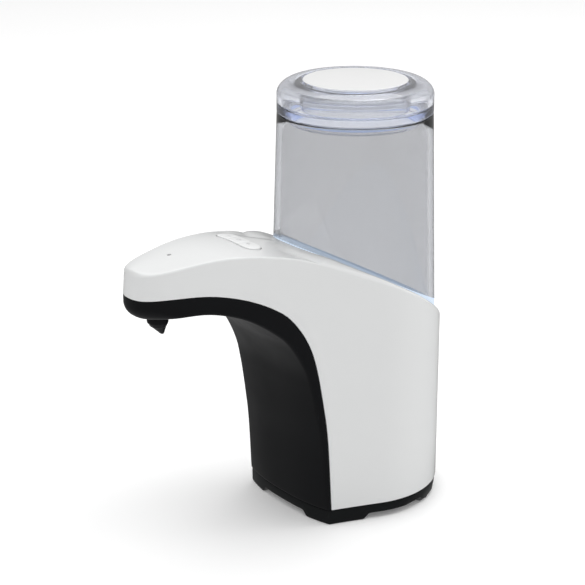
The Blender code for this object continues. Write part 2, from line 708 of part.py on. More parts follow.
def make_cells():
    """Four cells, with the button end up on the first and third."""
    for i, (x, back) in enumerate(cell_places()):
        low, high = CELL_BOTTOM, CELL_BOTTOM + CELL_LENGTH
        button_up = i % 2 == 0
        profile = [(0, high + 1 * MM), (2.7 * MM, high + 1 * MM), (2.7 * MM, high), (CELL_RADIUS - 0.5 * MM, high),
                   (CELL_RADIUS, high - 0.5 * MM), (CELL_RADIUS, low + 0.5 * MM), (CELL_RADIUS - 0.5 * MM, low),
                   (0, low)]
        if not button_up:
            profile = [(r, low + high - z) for r, z in profile][::-1]
        turned(f"battery_cell_{i + 1}", profile, "cell", at(x, back, 0), 20)


def coil(x, back, low, high, turns=3, radius=3.0 * MM, per_turn=8):
    steps = turns * per_turn
    return [at(x + radius * (1 - 0.3 * i / steps) * math.cos(2 * math.pi * i / per_turn),
               back + radius * (1 - 0.3 * i / steps) * math.sin(2 * math.pi * i / per_turn),
               low + (high - low) * i / steps) for i in range(steps + 1)]


def make_contacts():
    """Springs at each cell's flat end, and strips that bridge the cells in pairs."""
    strip_top = BOX_TOP - 1.9 * MM
    door_face = PLATE_BOTTOM + 2.3 * MM
    for i, (x, back) in enumerate(cell_places()):
        if i % 2 == 0:
            route = coil(x, back, door_face + 1.0 * MM, CELL_BOTTOM - 0.6 * MM, 2)
        else:
            route = coil(x, back, strip_top - 1.0 * MM, CELL_BOTTOM + CELL_LENGTH + 0.7 * MM, 3)
        wire(f"battery_spring_{i + 1}", route, 0.3 * MM, "nickel", 1)
    for name, left in (("door_contact_1", -1.5), ("door_contact_2", 0.5)):
        strip = contact_strip(name, left, left + 1, door_face)
        button_x = (left + 1) * CELL_PITCH
        join(strip, rod(name + "_dimple", 2.4 * MM, at(button_x, CELL_BACK, door_face + 0.2 * MM),
                        at(button_x, CELL_BACK, CELL_BOTTOM - 1 * MM - GAP), None, 16, 1.6 * MM))
    for name, first, last, button in (("top_contact_1", -1.5, -1.5, -1.5), ("top_contact_2", -0.5, 0.5, 0.5),
                                      ("top_contact_3", 1.5, 1.5, None)):
        strip = contact_strip(name, first, last, strip_top - 0.5 * MM)
        if button is not None:
            button_x = button * CELL_PITCH
            join(strip, rod(name + "_dimple", 1.6 * MM, at(button_x, CELL_BACK, CELL_BOTTOM + CELL_LENGTH + 1 * MM + GAP),
                            at(button_x, CELL_BACK, strip_top - 0.3 * MM), None, 16, 2.4 * MM))


def contact_strip(name, first, last, low):
    """A flat strip from one cell's place to another's."""
    return block(name, at(first * CELL_PITCH - 4 * MM, CELL_BACK - 4 * MM, low),
                 at(last * CELL_PITCH + 4 * MM, CELL_BACK + 4 * MM, low + 0.4 * MM), "nickel")


DOOR_AXIS_BACK = CELL_BACK + BOX_HALF[1] + 1.6 * MM
DOOR_AXIS_Z = PLATE_BOTTOM + 1.0 * MM


def make_battery_door():
    """Flat door hung on a round edge at its back; its origin is on the hinge axis."""
    half_x, half_y = BOX_HALF
    pivot = at(0, DOOR_AXIS_BACK, DOOR_AXIS_Z)
    door = rod("battery_door", 1.0 * MM, (-half_x, 0, 0), (half_x, 0, 0), "black_satin", 16)
    bring_origin(door)
    door.location = pivot
    front = CELL_BACK - half_y - 3 * MM + GAP
    join(door, block("door_leaf", at(-half_x, front, PLATE_BOTTOM), at(half_x, DOOR_AXIS_BACK, PLATE_BOTTOM + 2 * MM),
                     None))
    for i, step in enumerate(range(3)):
        y = front + (4 + 1.6 * step) * MM
        cut(door, block(f"door_grip_{i}", at(-7 * MM, y, PLATE_BOTTOM - 1 * MM),
                        at(7 * MM, y + 0.7 * MM, PLATE_BOTTOM + 0.5 * MM), None))


# ---- pump and drive ----

def gear_outline(teeth, module, turned_by=0.0):
    """Spur gear outline with straight-sided teeth that leave running clearance."""
    pitch = 2 * math.pi / teeth
    root, tip = module * (teeth / 2 - 1.15), module * (teeth / 2 + 0.85)
    points = []
    for k in range(teeth):
        for radius, share in ((root, -0.34), (tip, -0.11), (tip, 0.11), (root, 0.34)):
            angle = turned_by + pitch * (k + share)
            points.append((radius * math.cos(angle), radius * math.sin(angle)))
    return points


def gear(name, teeth, module, x, low, high, bore, finish, turned_by=0.0):
    made = flat_piece(name, gear_outline(teeth, module, turned_by), low, high, finish)
    made.location = at(x, DRIVE_BACK, (low + high) / 2)
    cut(made, rod(name + "_bore", bore + GAP, at(x, DRIVE_BACK, low - 2 * MM), at(x, DRIVE_BACK, high + 2 * MM), None, 20))
    return made


def make_motor():
    low, high = GEAR_Z - 31.5 * MM, GEAR_Z - 6.5 * MM
    outline = [(x, y + AXIS_Y + DRIVE_BACK) for x, y in
               [(MOTOR_X + px, py) for px, py in motor_section()]]
    can = flat_piece("motor_can", outline, low, high, "steel")
    cut(can, rod("motor_nose_hole", 1.0 * MM + GAP, at(MOTOR_X, DRIVE_BACK, high - 12 * MM),
                 at(MOTOR_X, DRIVE_BACK, high + 5 * MM), None, 16))
    flat_piece("motor_end_cap", outline, low - 2.6 * MM, low - GAP, "nylon")
    rod("motor_shaft", 1.0 * MM, at(MOTOR_X, DRIVE_BACK, high - 11 * MM), at(MOTOR_X, DRIVE_BACK, GEAR_Z + 6 * MM),
        "steel", 16)
    gear("motor_pinion", PINION_TEETH, GEAR_MODULE, MOTOR_X, GEAR_Z - 0.5 * MM, GEAR_Z + 5 * MM, 1.0 * MM, "nylon")


def motor_section(radius=10.0 * MM, flat=7.5 * MM):
    """Round can with two flats, as in small toy and pump motors."""
    reach = math.acos(flat / radius)
    right = [(radius * math.cos(a), radius * math.sin(a))
             for a in np.linspace(reach - math.pi / 2, math.pi / 2 - reach, 11)]
    return right + [(-x, -y) for x, y in right]


def make_drive():
    gear("reduction_gear", GEAR_TEETH, GEAR_MODULE, DRIVE_X, GEAR_Z, GEAR_Z + 4 * MM, 1.5 * MM, "nylon",
         math.pi / GEAR_TEETH)
    rod("pump_shaft", 1.5 * MM, at(DRIVE_X, DRIVE_BACK, GEAR_Z - 4.2 * MM),
        at(DRIVE_X, DRIVE_BACK, PUMP_Z + PUMP_HEIGHT - 2.6 * MM), "steel", 20)
    plate_low, plate_high = GEAR_Z - 6 * MM, GEAR_Z - 4.5 * MM
    bracket = block("gear_bracket", at(MOTOR_X - 11 * MM, DRIVE_BACK - 8 * MM, plate_low),
                    at(IDLER_X + 9 * MM, DRIVE_BACK + 8 * MM, plate_high), "grey_plastic", 0.4 * MM, 1)
    cut(bracket, rod("bracket_hole", 3.4 * MM, at(MOTOR_X, DRIVE_BACK, plate_low - 2 * MM),
                     at(MOTOR_X, DRIVE_BACK, plate_high + 2 * MM), None, 20))


def make_pump():
    low, high = PUMP_Z, PUMP_Z + PUMP_HEIGHT - 2.2 * MM
    tip = ROTOR_MODULE * (ROTOR_TEETH / 2 + 0.85)
    housing = block("pump_housing", at(DRIVE_X - tip - 3.5 * MM, DRIVE_BACK - tip - 3.5 * MM, low),
                    at(IDLER_X + tip + 3.5 * MM, DRIVE_BACK + tip + 3.5 * MM, high), "grey_plastic", 0.8 * MM)
    floor = low + 2.4 * MM
    for i, x in enumerate((DRIVE_X, IDLER_X)):
        cut(housing, rod(f"pump_chamber_{i}", tip + GAP, at(x, DRIVE_BACK, floor), at(x, DRIVE_BACK, high + 5 * MM),
                         None, 24))
    cut(housing, rod("pump_shaft_hole", 1.5 * MM + GAP, at(DRIVE_X, DRIVE_BACK, low - 3 * MM),
                     at(DRIVE_X, DRIVE_BACK, floor + 1 * MM), None, 16))
    middle = (DRIVE_X + IDLER_X) / 2
    port_z = (floor + high) / 2
    for name, side in (("pump_inlet", 1), ("pump_outlet", -1)):
        start = at(middle, DRIVE_BACK + side * (tip + 1 * MM), port_z)
        end = at(middle, DRIVE_BACK + side * (tip + 6.8 * MM), port_z)
        join(housing, rod(name, 1.7 * MM, start, end, None, 16))
    for name, side in (("pump_inlet_bore", 1), ("pump_outlet_bore", -1)):
        start = at(middle, DRIVE_BACK + side * 4 * MM, port_z)
        end = at(middle, DRIVE_BACK + side * (tip + 12 * MM), port_z)
        cut(housing, rod(name, 1.1 * MM, start, end, None, 12))
    rod("idler_pin", 1.5 * MM, at(IDLER_X, DRIVE_BACK, floor + GAP), at(IDLER_X, DRIVE_BACK, high - GAP), "steel", 20)
    gear("drive_rotor", ROTOR_TEETH, ROTOR_MODULE, DRIVE_X, floor + GAP, high - GAP, 1.5 * MM, "nylon")
    gear("idler_rotor", ROTOR_TEETH, ROTOR_MODULE, IDLER_X, floor + GAP, high - GAP, 1.5 * MM, "nylon",
         math.pi / ROTOR_TEETH)
    block("pump_cover", at(DRIVE_X - tip - 3.5 * MM, DRIVE_BACK - tip - 3.5 * MM, high + GAP),
          at(IDLER_X + tip + 3.5 * MM, DRIVE_BACK + tip + 3.5 * MM, high + 2 * MM), "grey_plastic", 0.5 * MM)
    return middle, port_z, tip


def hose(name, route, count):
    """A hollow silicone hose along a smooth route: an open tube, thickened inwards."""
    points = through([tuple(p) for p in route], count)
    tube = wire(name, points, 3.0 * MM, "silicone", 2, capped=False)
    wall = tube.modifiers.new("wall", "SOLIDIFY")
    wall.thickness = 0.8 * MM
    wall.offset = -1


def make_hoses(middle, port_z, tip):
    inlet_end = DRIVE_BACK + tip + 5 * MM
    hose("inlet_tube", [at(0, SPIGOT_BACK, SPIGOT_END + 3 * MM), at(0, SPIGOT_BACK, SPIGOT_END - 2 * MM),
                        at(1 * MM, SPIGOT_BACK - 4 * MM, SPIGOT_END - 6 * MM), at(5 * MM, 16 * MM, port_z + 0.4 * MM),
                        at(middle - 1 * MM, 4 * MM, port_z), at(middle, -5 * MM, port_z),
                        at(middle, inlet_end + 0.5 * MM, port_z)], 17)
    outlet_end = DRIVE_BACK - tip - 5 * MM
    stem = at(0, NOZZLE_BACK, 125.2 * MM)
    hose("outlet_tube", [at(middle, outlet_end, port_z), at(middle, outlet_end - 3 * MM, port_z + 0.3 * MM),
                         at(middle - 2 * MM, -42 * MM, port_z + 7 * MM), at(7 * MM, -42.5 * MM, 94 * MM), at(4 * MM, -45 * MM, 108 * MM),
                         at(1 * MM, -57 * MM, 121 * MM), at(0, -76 * MM, 127 * MM), at(0, -90 * MM, 131.5 * MM),
                         at(0, -102 * MM, 134 * MM), at(0, -109.5 * MM, 133.4 * MM), at(0, -113.3 * MM, 130 * MM),
                         stem], 29)


def make_leads():
    """Round internal leads from the control board to the sensor board and down to the motor."""
    board = key_surface() - 11 * MM
    wire("sensor_lead", through([at(11 * MM, -78 * MM, board + 1.6 * MM), at(10 * MM, -83 * MM, board + 1 * MM),
                                 at(8 * MM, -88 * MM, 131 * MM), at(7 * MM, SENSOR_BACK + 4 * MM, 130 * MM)], 10),
         0.7 * MM, "rubber")
    wire("motor_lead", through([at(-12 * MM, -62 * MM, board - 3 * MM), at(-14 * MM, -52 * MM, 118 * MM),
                                at(-17 * MM, -40 * MM, 96 * MM), at(-23 * MM, -36 * MM, 60 * MM),
                                at(-23 * MM, -34 * MM, 34 * MM), at(-16 * MM, -31 * MM, 14 * MM),
                                at(-12 * MM, DRIVE_BACK, 20 * MM)], 18), 0.8 * MM, "rubber")


clear_scene()
PARTS = new_collection("touchless_soap_dispenser")
CUTTERS = new_collection("cutters")
make_upper_shell()
make_front_cover()
make_reservoir()
make_lid()
make_keys()
make_control_board()
make_status_lens()
make_nozzle()
make_sensor()
make_base_plate()
make_foot_pads()
make_screws()
make_battery_box()
make_cells()
make_contacts()
make_battery_door()
make_motor()
make_drive()
make_hoses(*make_pump())
make_leads()
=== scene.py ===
"""The touchless soap dispenser's visual model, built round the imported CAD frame. Metres, +Z up."""

import json
import math

import bmesh
import bpy
import numpy as np
from mathutils import Matrix, Vector


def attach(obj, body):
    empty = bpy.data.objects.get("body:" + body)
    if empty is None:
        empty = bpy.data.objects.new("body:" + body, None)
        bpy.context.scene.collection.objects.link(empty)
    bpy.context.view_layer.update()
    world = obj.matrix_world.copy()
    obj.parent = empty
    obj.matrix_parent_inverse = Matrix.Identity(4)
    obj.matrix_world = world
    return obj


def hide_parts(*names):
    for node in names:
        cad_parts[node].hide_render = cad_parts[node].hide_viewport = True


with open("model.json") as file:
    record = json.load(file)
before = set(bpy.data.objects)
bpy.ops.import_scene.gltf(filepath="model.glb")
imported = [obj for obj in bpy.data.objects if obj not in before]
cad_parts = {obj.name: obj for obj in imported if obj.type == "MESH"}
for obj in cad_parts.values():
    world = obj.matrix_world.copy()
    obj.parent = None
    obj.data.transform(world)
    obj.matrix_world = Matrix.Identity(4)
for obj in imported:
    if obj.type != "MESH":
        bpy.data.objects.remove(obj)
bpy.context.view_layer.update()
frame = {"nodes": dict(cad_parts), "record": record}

MM = 0.001

# The design's dimensions, the same as in the CAD
REAR_RADIUS = 43.0 * MM
NOSE_REACH = 129.15 * MM
FOOT_HEIGHT = 8.0 * MM
AXIS_Y = (NOSE_REACH - REAR_RADIUS) / 2
GAP = 0.3 * MM
NOSE_HANDLE = 20.0 * MM
FLANK_HANDLE = 95.8 * MM
FLANK_ANGLE = 0.325
TOP_LINE = ((-131, 130.2), (-115, 132.3), (-98, 134.3), (-84.5, 134.5), (-70, 133.1), (-54, 130), (-39, 124.5),
            (-23.6, 117.8), (-8, 111), (7, 103), (22, 93.1), (45, 77))
SEAM_LINE = ((-131, 118.9), (-115, 118.9), (-100, 118.2), (-88.5, 116.1), (-77, 112.4), (-66, 107), (-58, 100.7),
             (-50.5, 89.5), (-46, 76.5), (-42.2, 55), (-39.9, 36), (-38, 0))
UNDER_LINE = ((-131, 111.6), (-115, 110.6), (-100, 109.7), (-88.6, 107.4), (-77, 102.8), (-65.6, 95.2),
              (-57.8, 87.6), (-50.6, 74.8), (-47, 63), (-43.6, 46), (-40.9, 28), (-38.8, 0))
FRONT_BULGE = 5.2 * MM
ARM_BULGE = 1.2 * MM
TANK_TOP_RADIUS = 37.5 * MM
TANK_TAPER = 0.028
TANK_TOP = 186.4 * MM + FOOT_HEIGHT
TANK_WALL = 2.8 * MM
TANK_FLOOR = 100.5 * MM + FOOT_HEIGHT
TANK_SLOPE = 0.545
TANK_FLOOR_THICKNESS = 2.6 * MM
SPIGOT_BACK = 30.0 * MM
SPIGOT_RADIUS = 5.0 * MM
SPIGOT_END = 74.0 * MM + FOOT_HEIGHT
LID_TOP = 202.2 * MM + FOOT_HEIGHT
LID_DISC_RADIUS = 25.2 * MM
PLUG_RADIUS = 33.2 * MM
PLUG_DEPTH = 4.4 * MM
SEAL_DROP = 1.5 * MM
WELL_RADIUS = 24.4 * MM
KEY_PITCH = 9.7 * MM
KEY_GAP = 0.4 * MM
KEY_DEPTH = 9.2 * MM
KEY_BACK = -68.4 * MM
MARK_PITCH = 7.5 * MM
KEY_TILT = math.radians(-7.0)
NOZZLE_BACK = -113.8 * MM
NOZZLE_RADIUS = 5.0 * MM
SENSOR_BACK = -96.0 * MM
SENSOR_HALF = (9.0 * MM, 4.0 * MM)
LENS_BACK = -106.8 * MM
CELL_BACK = -2.0 * MM
BOX_HALF = (32.0 * MM, 9.2 * MM)
PLATE_BOTTOM = 3.0 * MM
DOOR_AXIS_BACK = CELL_BACK + BOX_HALF[1] + 1.6 * MM
DOOR_AXIS_Z = PLATE_BOTTOM + 1.0 * MM
SCREW_PLACES = ((-29.5 * MM, -26 * MM), (29.5 * MM, -26 * MM), (-24 * MM, 29.5 * MM), (24 * MM, 29.5 * MM))
PAD_PLACES = ((22 * MM, -36 * MM), (33.5 * MM, 18 * MM))

# The visual model's own choices
SHELL_WALL = 1.7 * MM
COVER_WALL = 1.5 * MM
MERGE = 0.000002
ROUND_STEPS = 128


# ---- curves shared with the CAD ----

def through(points, count):
    """Places along a Catmull-Rom curve through points."""
    p = np.array(points, float)
    p = np.vstack([2 * p[0] - p[1], p, 2 * p[-1] - p[-2]])
    spans = len(p) - 3
    out = []
    for step in np.linspace(0, spans, count):
        i = min(int(step), spans - 1)
        t = step - i
        a, b, c, d = p[i:i + 4]
        out.append(0.5 * (2 * b + (c - a) * t + (2 * a - 5 * b + 4 * c - d) * t**2 + (3 * b - a - 3 * c + d) * t**3))
    return np.array(out)


def side_line(points, count=240):
    return through(points, count) * MM + (0, FOOT_HEIGHT)


def flank(count):
    end = REAR_RADIUS * np.array([math.cos(FLANK_ANGLE), -math.sin(FLANK_ANGLE)])
    along = np.array([math.sin(FLANK_ANGLE), math.cos(FLANK_ANGLE)])
    handles = (np.array([0, -NOSE_REACH]), np.array([NOSE_HANDLE, -NOSE_REACH]), end - FLANK_HANDLE * along, end)
    t = np.linspace(0, 1, count)[:, None] ** 1.25
    weights = ((1 - t)**3, 3 * (1 - t)**2 * t, 3 * (1 - t) * t**2, t**3)
    return sum(w * h for w, h in zip(weights, handles))


TOP = side_line(TOP_LINE)
SEAM = side_line(SEAM_LINE)
UNDER = side_line(UNDER_LINE)
FLANK = flank(400)
FLANK_END = -REAR_RADIUS * math.sin(FLANK_ANGLE)


def rear_arc():
    """The round back of the plan, from the end of the flank to the middle."""
    return [(REAR_RADIUS * math.cos(a), -REAR_RADIUS * math.sin(a)) for a in np.linspace(FLANK_ANGLE, -math.pi / 2, 60)]


def run_along(line):
    """Distance along a polyline at each of its points."""
    return np.concatenate([[0], np.cumsum(np.hypot(*np.diff(line, axis=0).T))])


def half_width(back):
    back = np.asarray(back, float)
    side = np.interp(back, FLANK[:, 1], FLANK[:, 0])
    return np.where(back > FLANK_END, np.sqrt(np.maximum(REAR_RADIUS**2 - back**2, 0)), side)


def tank_radius(z):
    return TANK_TOP_RADIUS + TANK_TAPER * (TANK_TOP - z)


def smooth_step(low, high, value):
    t = np.clip((value - low) / (high - low), 0, 1)
    return t * t * (3 - 2 * t)


class Grid:
    """A field of numbers on a regular grid, read between its points."""

    def __init__(self, low, step, values):
        self.low, self.step, self.values = low, step, values

    def at(self, a, b):
        i = np.clip((a - self.low[0]) / self.step, 0, self.values.shape[0] - 1.001)
        j = np.clip((b - self.low[1]) / self.step, 0, self.values.shape[1] - 1.001)
        i0, j0 = i.astype(int), j.astype(int)
        fi, fj = i - i0, j - j0
        v = self.values
        return ((v[i0, j0] * (1 - fi) + v[i0 + 1, j0] * fi) * (1 - fj)
                + (v[i0, j0 + 1] * (1 - fi) + v[i0 + 1, j0 + 1] * fi) * fj)


def nearest_on(line, a, b):
    """Distance to a polyline, the index of the nearest segment, and the side, positive to its left."""
    start, span = line[:-1], np.diff(line, axis=0)
    length2 = (span**2).sum(1)
    flat_a, flat_b = a.ravel(), b.ravel()
    best = np.full(flat_a.shape, 1e9)
    index = np.zeros(flat_a.shape, int)
    side = np.zeros(flat_a.shape)
    for k in range(len(start)):
        da, db = flat_a - start[k, 0], flat_b - start[k, 1]
        t = np.clip((da * span[k, 0] + db * span[k, 1]) / length2[k], 0, 1)
        ea, eb = da - t * span[k, 0], db - t * span[k, 1]
        away = ea * ea + eb * eb
        closer = away < best
        best[closer] = away[closer]
        index[closer] = k
        side[closer] = (span[k, 0] * db - span[k, 1] * da)[closer]
    shape = a.shape
    return np.sqrt(best).reshape(shape), index.reshape(shape), np.sign(side).reshape(shape)


def plan_grid():
    half = np.vstack([flank(120), rear_arc()[1:]])
    step = 0.5 * MM
    low = (0.0, -136 * MM)
    xs = np.arange(0, 62 * MM, step)
    backs = np.arange(low[1], 52 * MM, step)
    x, b = np.meshgrid(xs, backs, indexing="ij")
    far, _, _ = nearest_on(half, x, b)
    inside = (b > -NOSE_REACH) & (b < REAR_RADIUS) & (x < half_width(b))
    return Grid(low, step, np.where(inside, -far, far))


PLAN = plan_grid()


def front_grids():
    """Distance outside the front and underside line, and how far its middle bulges, over (back, height)."""
    line = side_line(UNDER_LINE, 120)
    line[:, 1] -= 0.9 * MM * (1 - smooth_step(-122 * MM, -96 * MM, line[:, 0]))
    step = 0.5 * MM
    low = (-138 * MM, 0.0)
    backs = np.arange(low[0], -20 * MM, step)
    heights = np.arange(0, 150 * MM, step)
    b, z = np.meshgrid(backs, heights, indexing="ij")
    far, index, side = nearest_on(line, b, z)
    depth = np.maximum(1 - (line[index, 1] - FOOT_HEIGHT) / (111 * MM), 0)
    bulge = ARM_BULGE + (FRONT_BULGE - ARM_BULGE) * depth**0.7
    return Grid(low, step, -far * side), Grid(low, step, bulge)


FRONT, BULGE = front_grids()


# ---- mesh helpers ----

def smoothed(obj, angle):
    obj.data.shade_smooth()
    obj.data.set_sharp_from_angle(angle=math.radians(angle))


def from_bmesh(name, bm, material, angle=35, outward=True):
    """Makes an object of a bmesh, smooth but for the edges sharper than angle."""
    if outward:
        bmesh.ops.recalc_face_normals(bm, faces=bm.faces)
    mesh = bpy.data.meshes.new(name)
    bm.to_mesh(mesh)
    bm.free()
    made = bpy.data.objects.new(name, mesh)
    bpy.context.scene.collection.objects.link(made)
    if material:
        mesh.materials.append(material)
    smoothed(made, angle)
    return made


def grid_mesh(bm, rows, closed):
    """Quads between rows of points; closed joins each row's ends."""
    verts = [[bm.verts.new(p) for p in row] for row in rows]
    count = len(rows[0])
    for low, high in zip(verts, verts[1:]):
        for i in range(count if closed else count - 1):
            j = (i + 1) % count
            bm.faces.new((low[i], low[j], high[j], high[i]))
    return verts


def baked(obj):
    """Applies the object's modifiers to its mesh."""
    graph = bpy.context.evaluated_depsgraph_get()
    mesh = bpy.data.meshes.new_from_object(obj.evaluated_get(graph))
    obj.modifiers.clear()
    obj.data = mesh
    return obj


def combined(obj, operation, others):
    """Cuts the others from obj or adds them to it, and removes them."""
    for other in others:
        change = obj.modifiers.new("change", "BOOLEAN")
        change.operation = operation
        change.solver = "MANIFOLD"
        change.object = other
    bpy.context.view_layer.update()
    baked(obj)
    for other in others:
        bpy.data.objects.remove(other)


def cut(obj, *cutters):
    combined(obj, "DIFFERENCE", cutters)


def joined(obj, other):
    combined(obj, "UNION", [other])


def soften(obj, width, segments=3, angle=40):
    """Rounds the edges sharper than angle."""
    bevel = obj.modifiers.new("soften", "BEVEL")
    bevel.width = width
    bevel.segments = segments
    bevel.limit_method = "ANGLE"
    bevel.angle_limit = math.radians(angle)
    bevel.use_clamp_overlap = False
    bevel.harden_normals = False
    baked(obj)
    smoothed(obj, 35)


def turned(name, profile, material, x=0.0, back=0.0, steps=ROUND_STEPS, angle=35, closed=False):
    """A turned piece from (radius, height) points down its outside; closed joins the profile's ends."""
    bm = bmesh.new()
    rows = []
    for radius, z in profile:
        if radius <= 0:
            rows.append([bm.verts.new((x, AXIS_Y + back, z))])
        else:
            rows.append([bm.verts.new((x + radius * math.cos(a), AXIS_Y + back + radius * math.sin(a), z))
                         for a in np.linspace(0, 2 * math.pi, steps, endpoint=False)])
    pairs = list(zip(rows, rows[1:])) + ([(rows[-1], rows[0])] if closed else [])
    for first, second in pairs:
        for i in range(steps):
            j = (i + 1) % steps
            corner = [first[i % len(first)], first[j % len(first)], second[j % len(second)], second[i % len(second)]]
            unique = list(dict.fromkeys(corner))
            if len(unique) > 2:
                bm.faces.new(unique)
    return from_bmesh(name, bm, material, angle)


def thicken(obj, thickness, outward, even=True):
    """Gives a single surface a wall on its inner side; outward is a direction most of its normals should share."""
    mesh = obj.data
    facing = sum(Vector(p.normal).dot(Vector(outward)) * p.area for p in mesh.polygons)
    if facing < 0:
        mesh.flip_normals()
    wall = obj.modifiers.new("wall", "SOLIDIFY")
    wall.thickness = thickness
    wall.offset = -1
    wall.use_even_offset = even
    wall.use_rim = True
    return baked(obj)


def box_cutter(low, high, name="cutter"):
    bm = bmesh.new()
    bmesh.ops.create_cube(bm, size=1)
    low, high = Vector(low), Vector(high)
    bmesh.ops.scale(bm, vec=high - low, verts=bm.verts)
    bmesh.ops.translate(bm, vec=(low + high) / 2, verts=bm.verts)
    return from_bmesh(name, bm, None)


def rod_cutter(radius, low, high, sides=48, end_radius=None):
    low, high = Vector(low), Vector(high)
    along = high - low
    bm = bmesh.new()
    bmesh.ops.create_cone(bm, cap_ends=True, segments=sides, radius1=radius,
                          radius2=radius if end_radius is None else end_radius, depth=along.length)
    bmesh.ops.rotate(bm, verts=bm.verts, matrix=along.to_track_quat("Z", "Y").to_matrix())
    bmesh.ops.translate(bm, vec=(low + high) / 2, verts=bm.verts)
    return from_bmesh("cutter", bm, None)


def at(x, back, z):
    return Vector((x, AXIS_Y + back, z))


def drill(radius, x, back, low, high, sides=48, end_radius=None):
    """An upright rod to cut with."""
    return rod_cutter(radius, at(x, back, low), at(x, back, high), sides, end_radius)


def turned_profile(radius, height, offsets):
    """Profile points at offsets in mm from a radius and a height."""
    return [(radius + out * MM, height + up * MM) for out, up in offsets]


# ---- materials ----

def set_inputs(node, **values):
    """Sets a node's inputs by name, with underscores for spaces."""
    for name, value in values.items():
        node.inputs[name.replace("_", " ")].default_value = value


def finish(name, colour, roughness, metallic=0.0, spread=0.04, tone=0.03, grain=900, bump=0.02, depth=0.02,
           ior=1.48, transmission=0.0, subsurface=0.0, absorb=None, glow=None):
    """Moulded finish: roughness and tone drift over the surface, with a fine relief.

    absorb is (colour, density) inside a clear piece, and glow (colour, strength) stands in for light gathered in one.
    """
    made = bpy.data.materials.new(name)
    made.use_nodes = True
    tree = made.node_tree
    shader = tree.nodes["Principled BSDF"]
    set_inputs(shader, Metallic=metallic, IOR=ior, Transmission_Weight=transmission, Subsurface_Weight=subsurface)
    place = tree.nodes.new("ShaderNodeTexCoord")

    def noise(scale, detail=3.0):
        made_noise = tree.nodes.new("ShaderNodeTexNoise")
        set_inputs(made_noise, Scale=scale, Detail=detail)
        tree.links.new(place.outputs["Object"], made_noise.inputs["Vector"])
        return made_noise.outputs["Fac"]

    def spread_over(fac, low, high):
        change = tree.nodes.new("ShaderNodeMapRange")
        set_inputs(change, From_Min=0.3, From_Max=0.7, To_Min=low, To_Max=high)
        tree.links.new(fac, change.inputs["Value"])
        return change.outputs["Result"]

    tree.links.new(spread_over(noise(60), max(roughness - spread, 0.0), roughness + spread), shader.inputs["Roughness"])
    ramp = tree.nodes.new("ShaderNodeMix")
    ramp.data_type = "RGBA"
    ramp.inputs[6].default_value = (*[c * (1 - tone) for c in colour], 1)
    ramp.inputs[7].default_value = (*[min(c * (1 + tone), 1) for c in colour], 1)
    tree.links.new(noise(25), ramp.inputs[0])
    tree.links.new(ramp.outputs[2], shader.inputs["Base Color"])
    relief = tree.nodes.new("ShaderNodeBump")
    set_inputs(relief, Strength=bump, Distance=depth * MM)
    tree.links.new(noise(grain, 2.0), relief.inputs["Height"])
    tree.links.new(relief.outputs["Normal"], shader.inputs["Normal"])
    if glow:
        set_inputs(shader, Emission_Color=(*glow[0], 1), Emission_Strength=glow[1])
    if absorb:
        tint, density = absorb
        volume = tree.nodes.new("ShaderNodeVolumeAbsorption")
        set_inputs(volume, Color=(*tint, 1), Density=density)
        tree.links.new(volume.outputs["Volume"], tree.nodes["Material Output"].inputs["Volume"])
    return made


WHITE = finish("white_gloss", (0.735, 0.742, 0.742), 0.14, grain=1400, bump=0.04, tone=0.01)
KEY_WHITE = finish("key_white", (0.84, 0.845, 0.845), 0.22, grain=1800, bump=0.05, tone=0.01)
DISC_WHITE = finish("disc_white", (0.74, 0.74, 0.74), 0.16, grain=1200, bump=0.03, tone=0.01)
BLACK = finish("black_satin", (0.006, 0.0063, 0.0072), 0.36, grain=2600, bump=0.12, tone=0.15, ior=1.2)
BASE_BLACK = finish("base_black", (0.007, 0.008, 0.0085), 0.38, grain=2200, bump=0.15, tone=0.15, ior=1.22)
TANK_CLEAR = finish("tank_clear", (0.70, 0.70, 0.705), 0.02, spread=0.012, tone=0.01, grain=500, bump=0.006,
                    ior=1.49, transmission=1.0, absorb=((0.52, 0.56, 0.64), 58.0))
LID_CLEAR = finish("lid_clear", (0.97, 0.975, 0.985), 0.02, spread=0.012, tone=0.01, grain=500, bump=0.006,
                   ior=1.49, transmission=0.94, absorb=((0.32, 0.46, 0.95), 20.0))
# Painted light: a pale blue glow on the reservoir's floor band, standing in for light gathered in the thick clear floor
TANK_FOOT_GLOW = finish("tank_foot_glow", (0.28, 0.33, 0.40), 0.3, spread=0.04, tone=0.02, grain=500, bump=0.02,
                   glow=((0.74, 0.86, 1.0), 0.6))
WINDOW = finish("sensor_dark", (0.010, 0.006, 0.010), 0.06, spread=0.02, grain=900, bump=0.02)
MARK = finish("mark_grey", (0.42, 0.42, 0.43), 0.4, grain=2000, bump=0.05)
LAMP = finish("lamp_smoke", (0.30, 0.30, 0.31), 0.12, spread=0.03, ior=1.5)
EMITTER = finish("emitter_clear", (0.6, 0.65, 0.8), 0.08, spread=0.03, transmission=0.6)
RUBBER = finish("rubber_dark", (0.025, 0.025, 0.026), 0.75, spread=0.08, tone=0.2, grain=2400, bump=0.4, depth=0.05)
SILICONE = finish("silicone", (0.75, 0.77, 0.78), 0.42, grain=1200, bump=0.1, subsurface=0.2)
# Painted light: the seal ring glows pale blue, standing in for light caught in the clear seam under the lid
SEAL_GLOW = finish("seal_glow", (0.55, 0.63, 0.82), 0.2, spread=0.03, tone=0.01, ior=1.41,
                    glow=((0.48, 0.58, 0.88), 0.6))
NYLON = finish("nylon", (0.78, 0.76, 0.70), 0.42, grain=1500, bump=0.12, subsurface=0.1)
STEEL = finish("steel", (0.60, 0.60, 0.62), 0.30, metallic=1.0, spread=0.08, grain=1800, bump=0.08)
NICKEL = finish("nickel", (0.70, 0.68, 0.64), 0.26, metallic=1.0, spread=0.08, grain=1800, bump=0.06)
GREY = finish("grey_plastic", (0.30, 0.31, 0.32), 0.48, grain=1800, bump=0.2)
BOARD = finish("board_green", (0.02, 0.15, 0.07), 0.42, tone=0.2, grain=1500, bump=0.15)
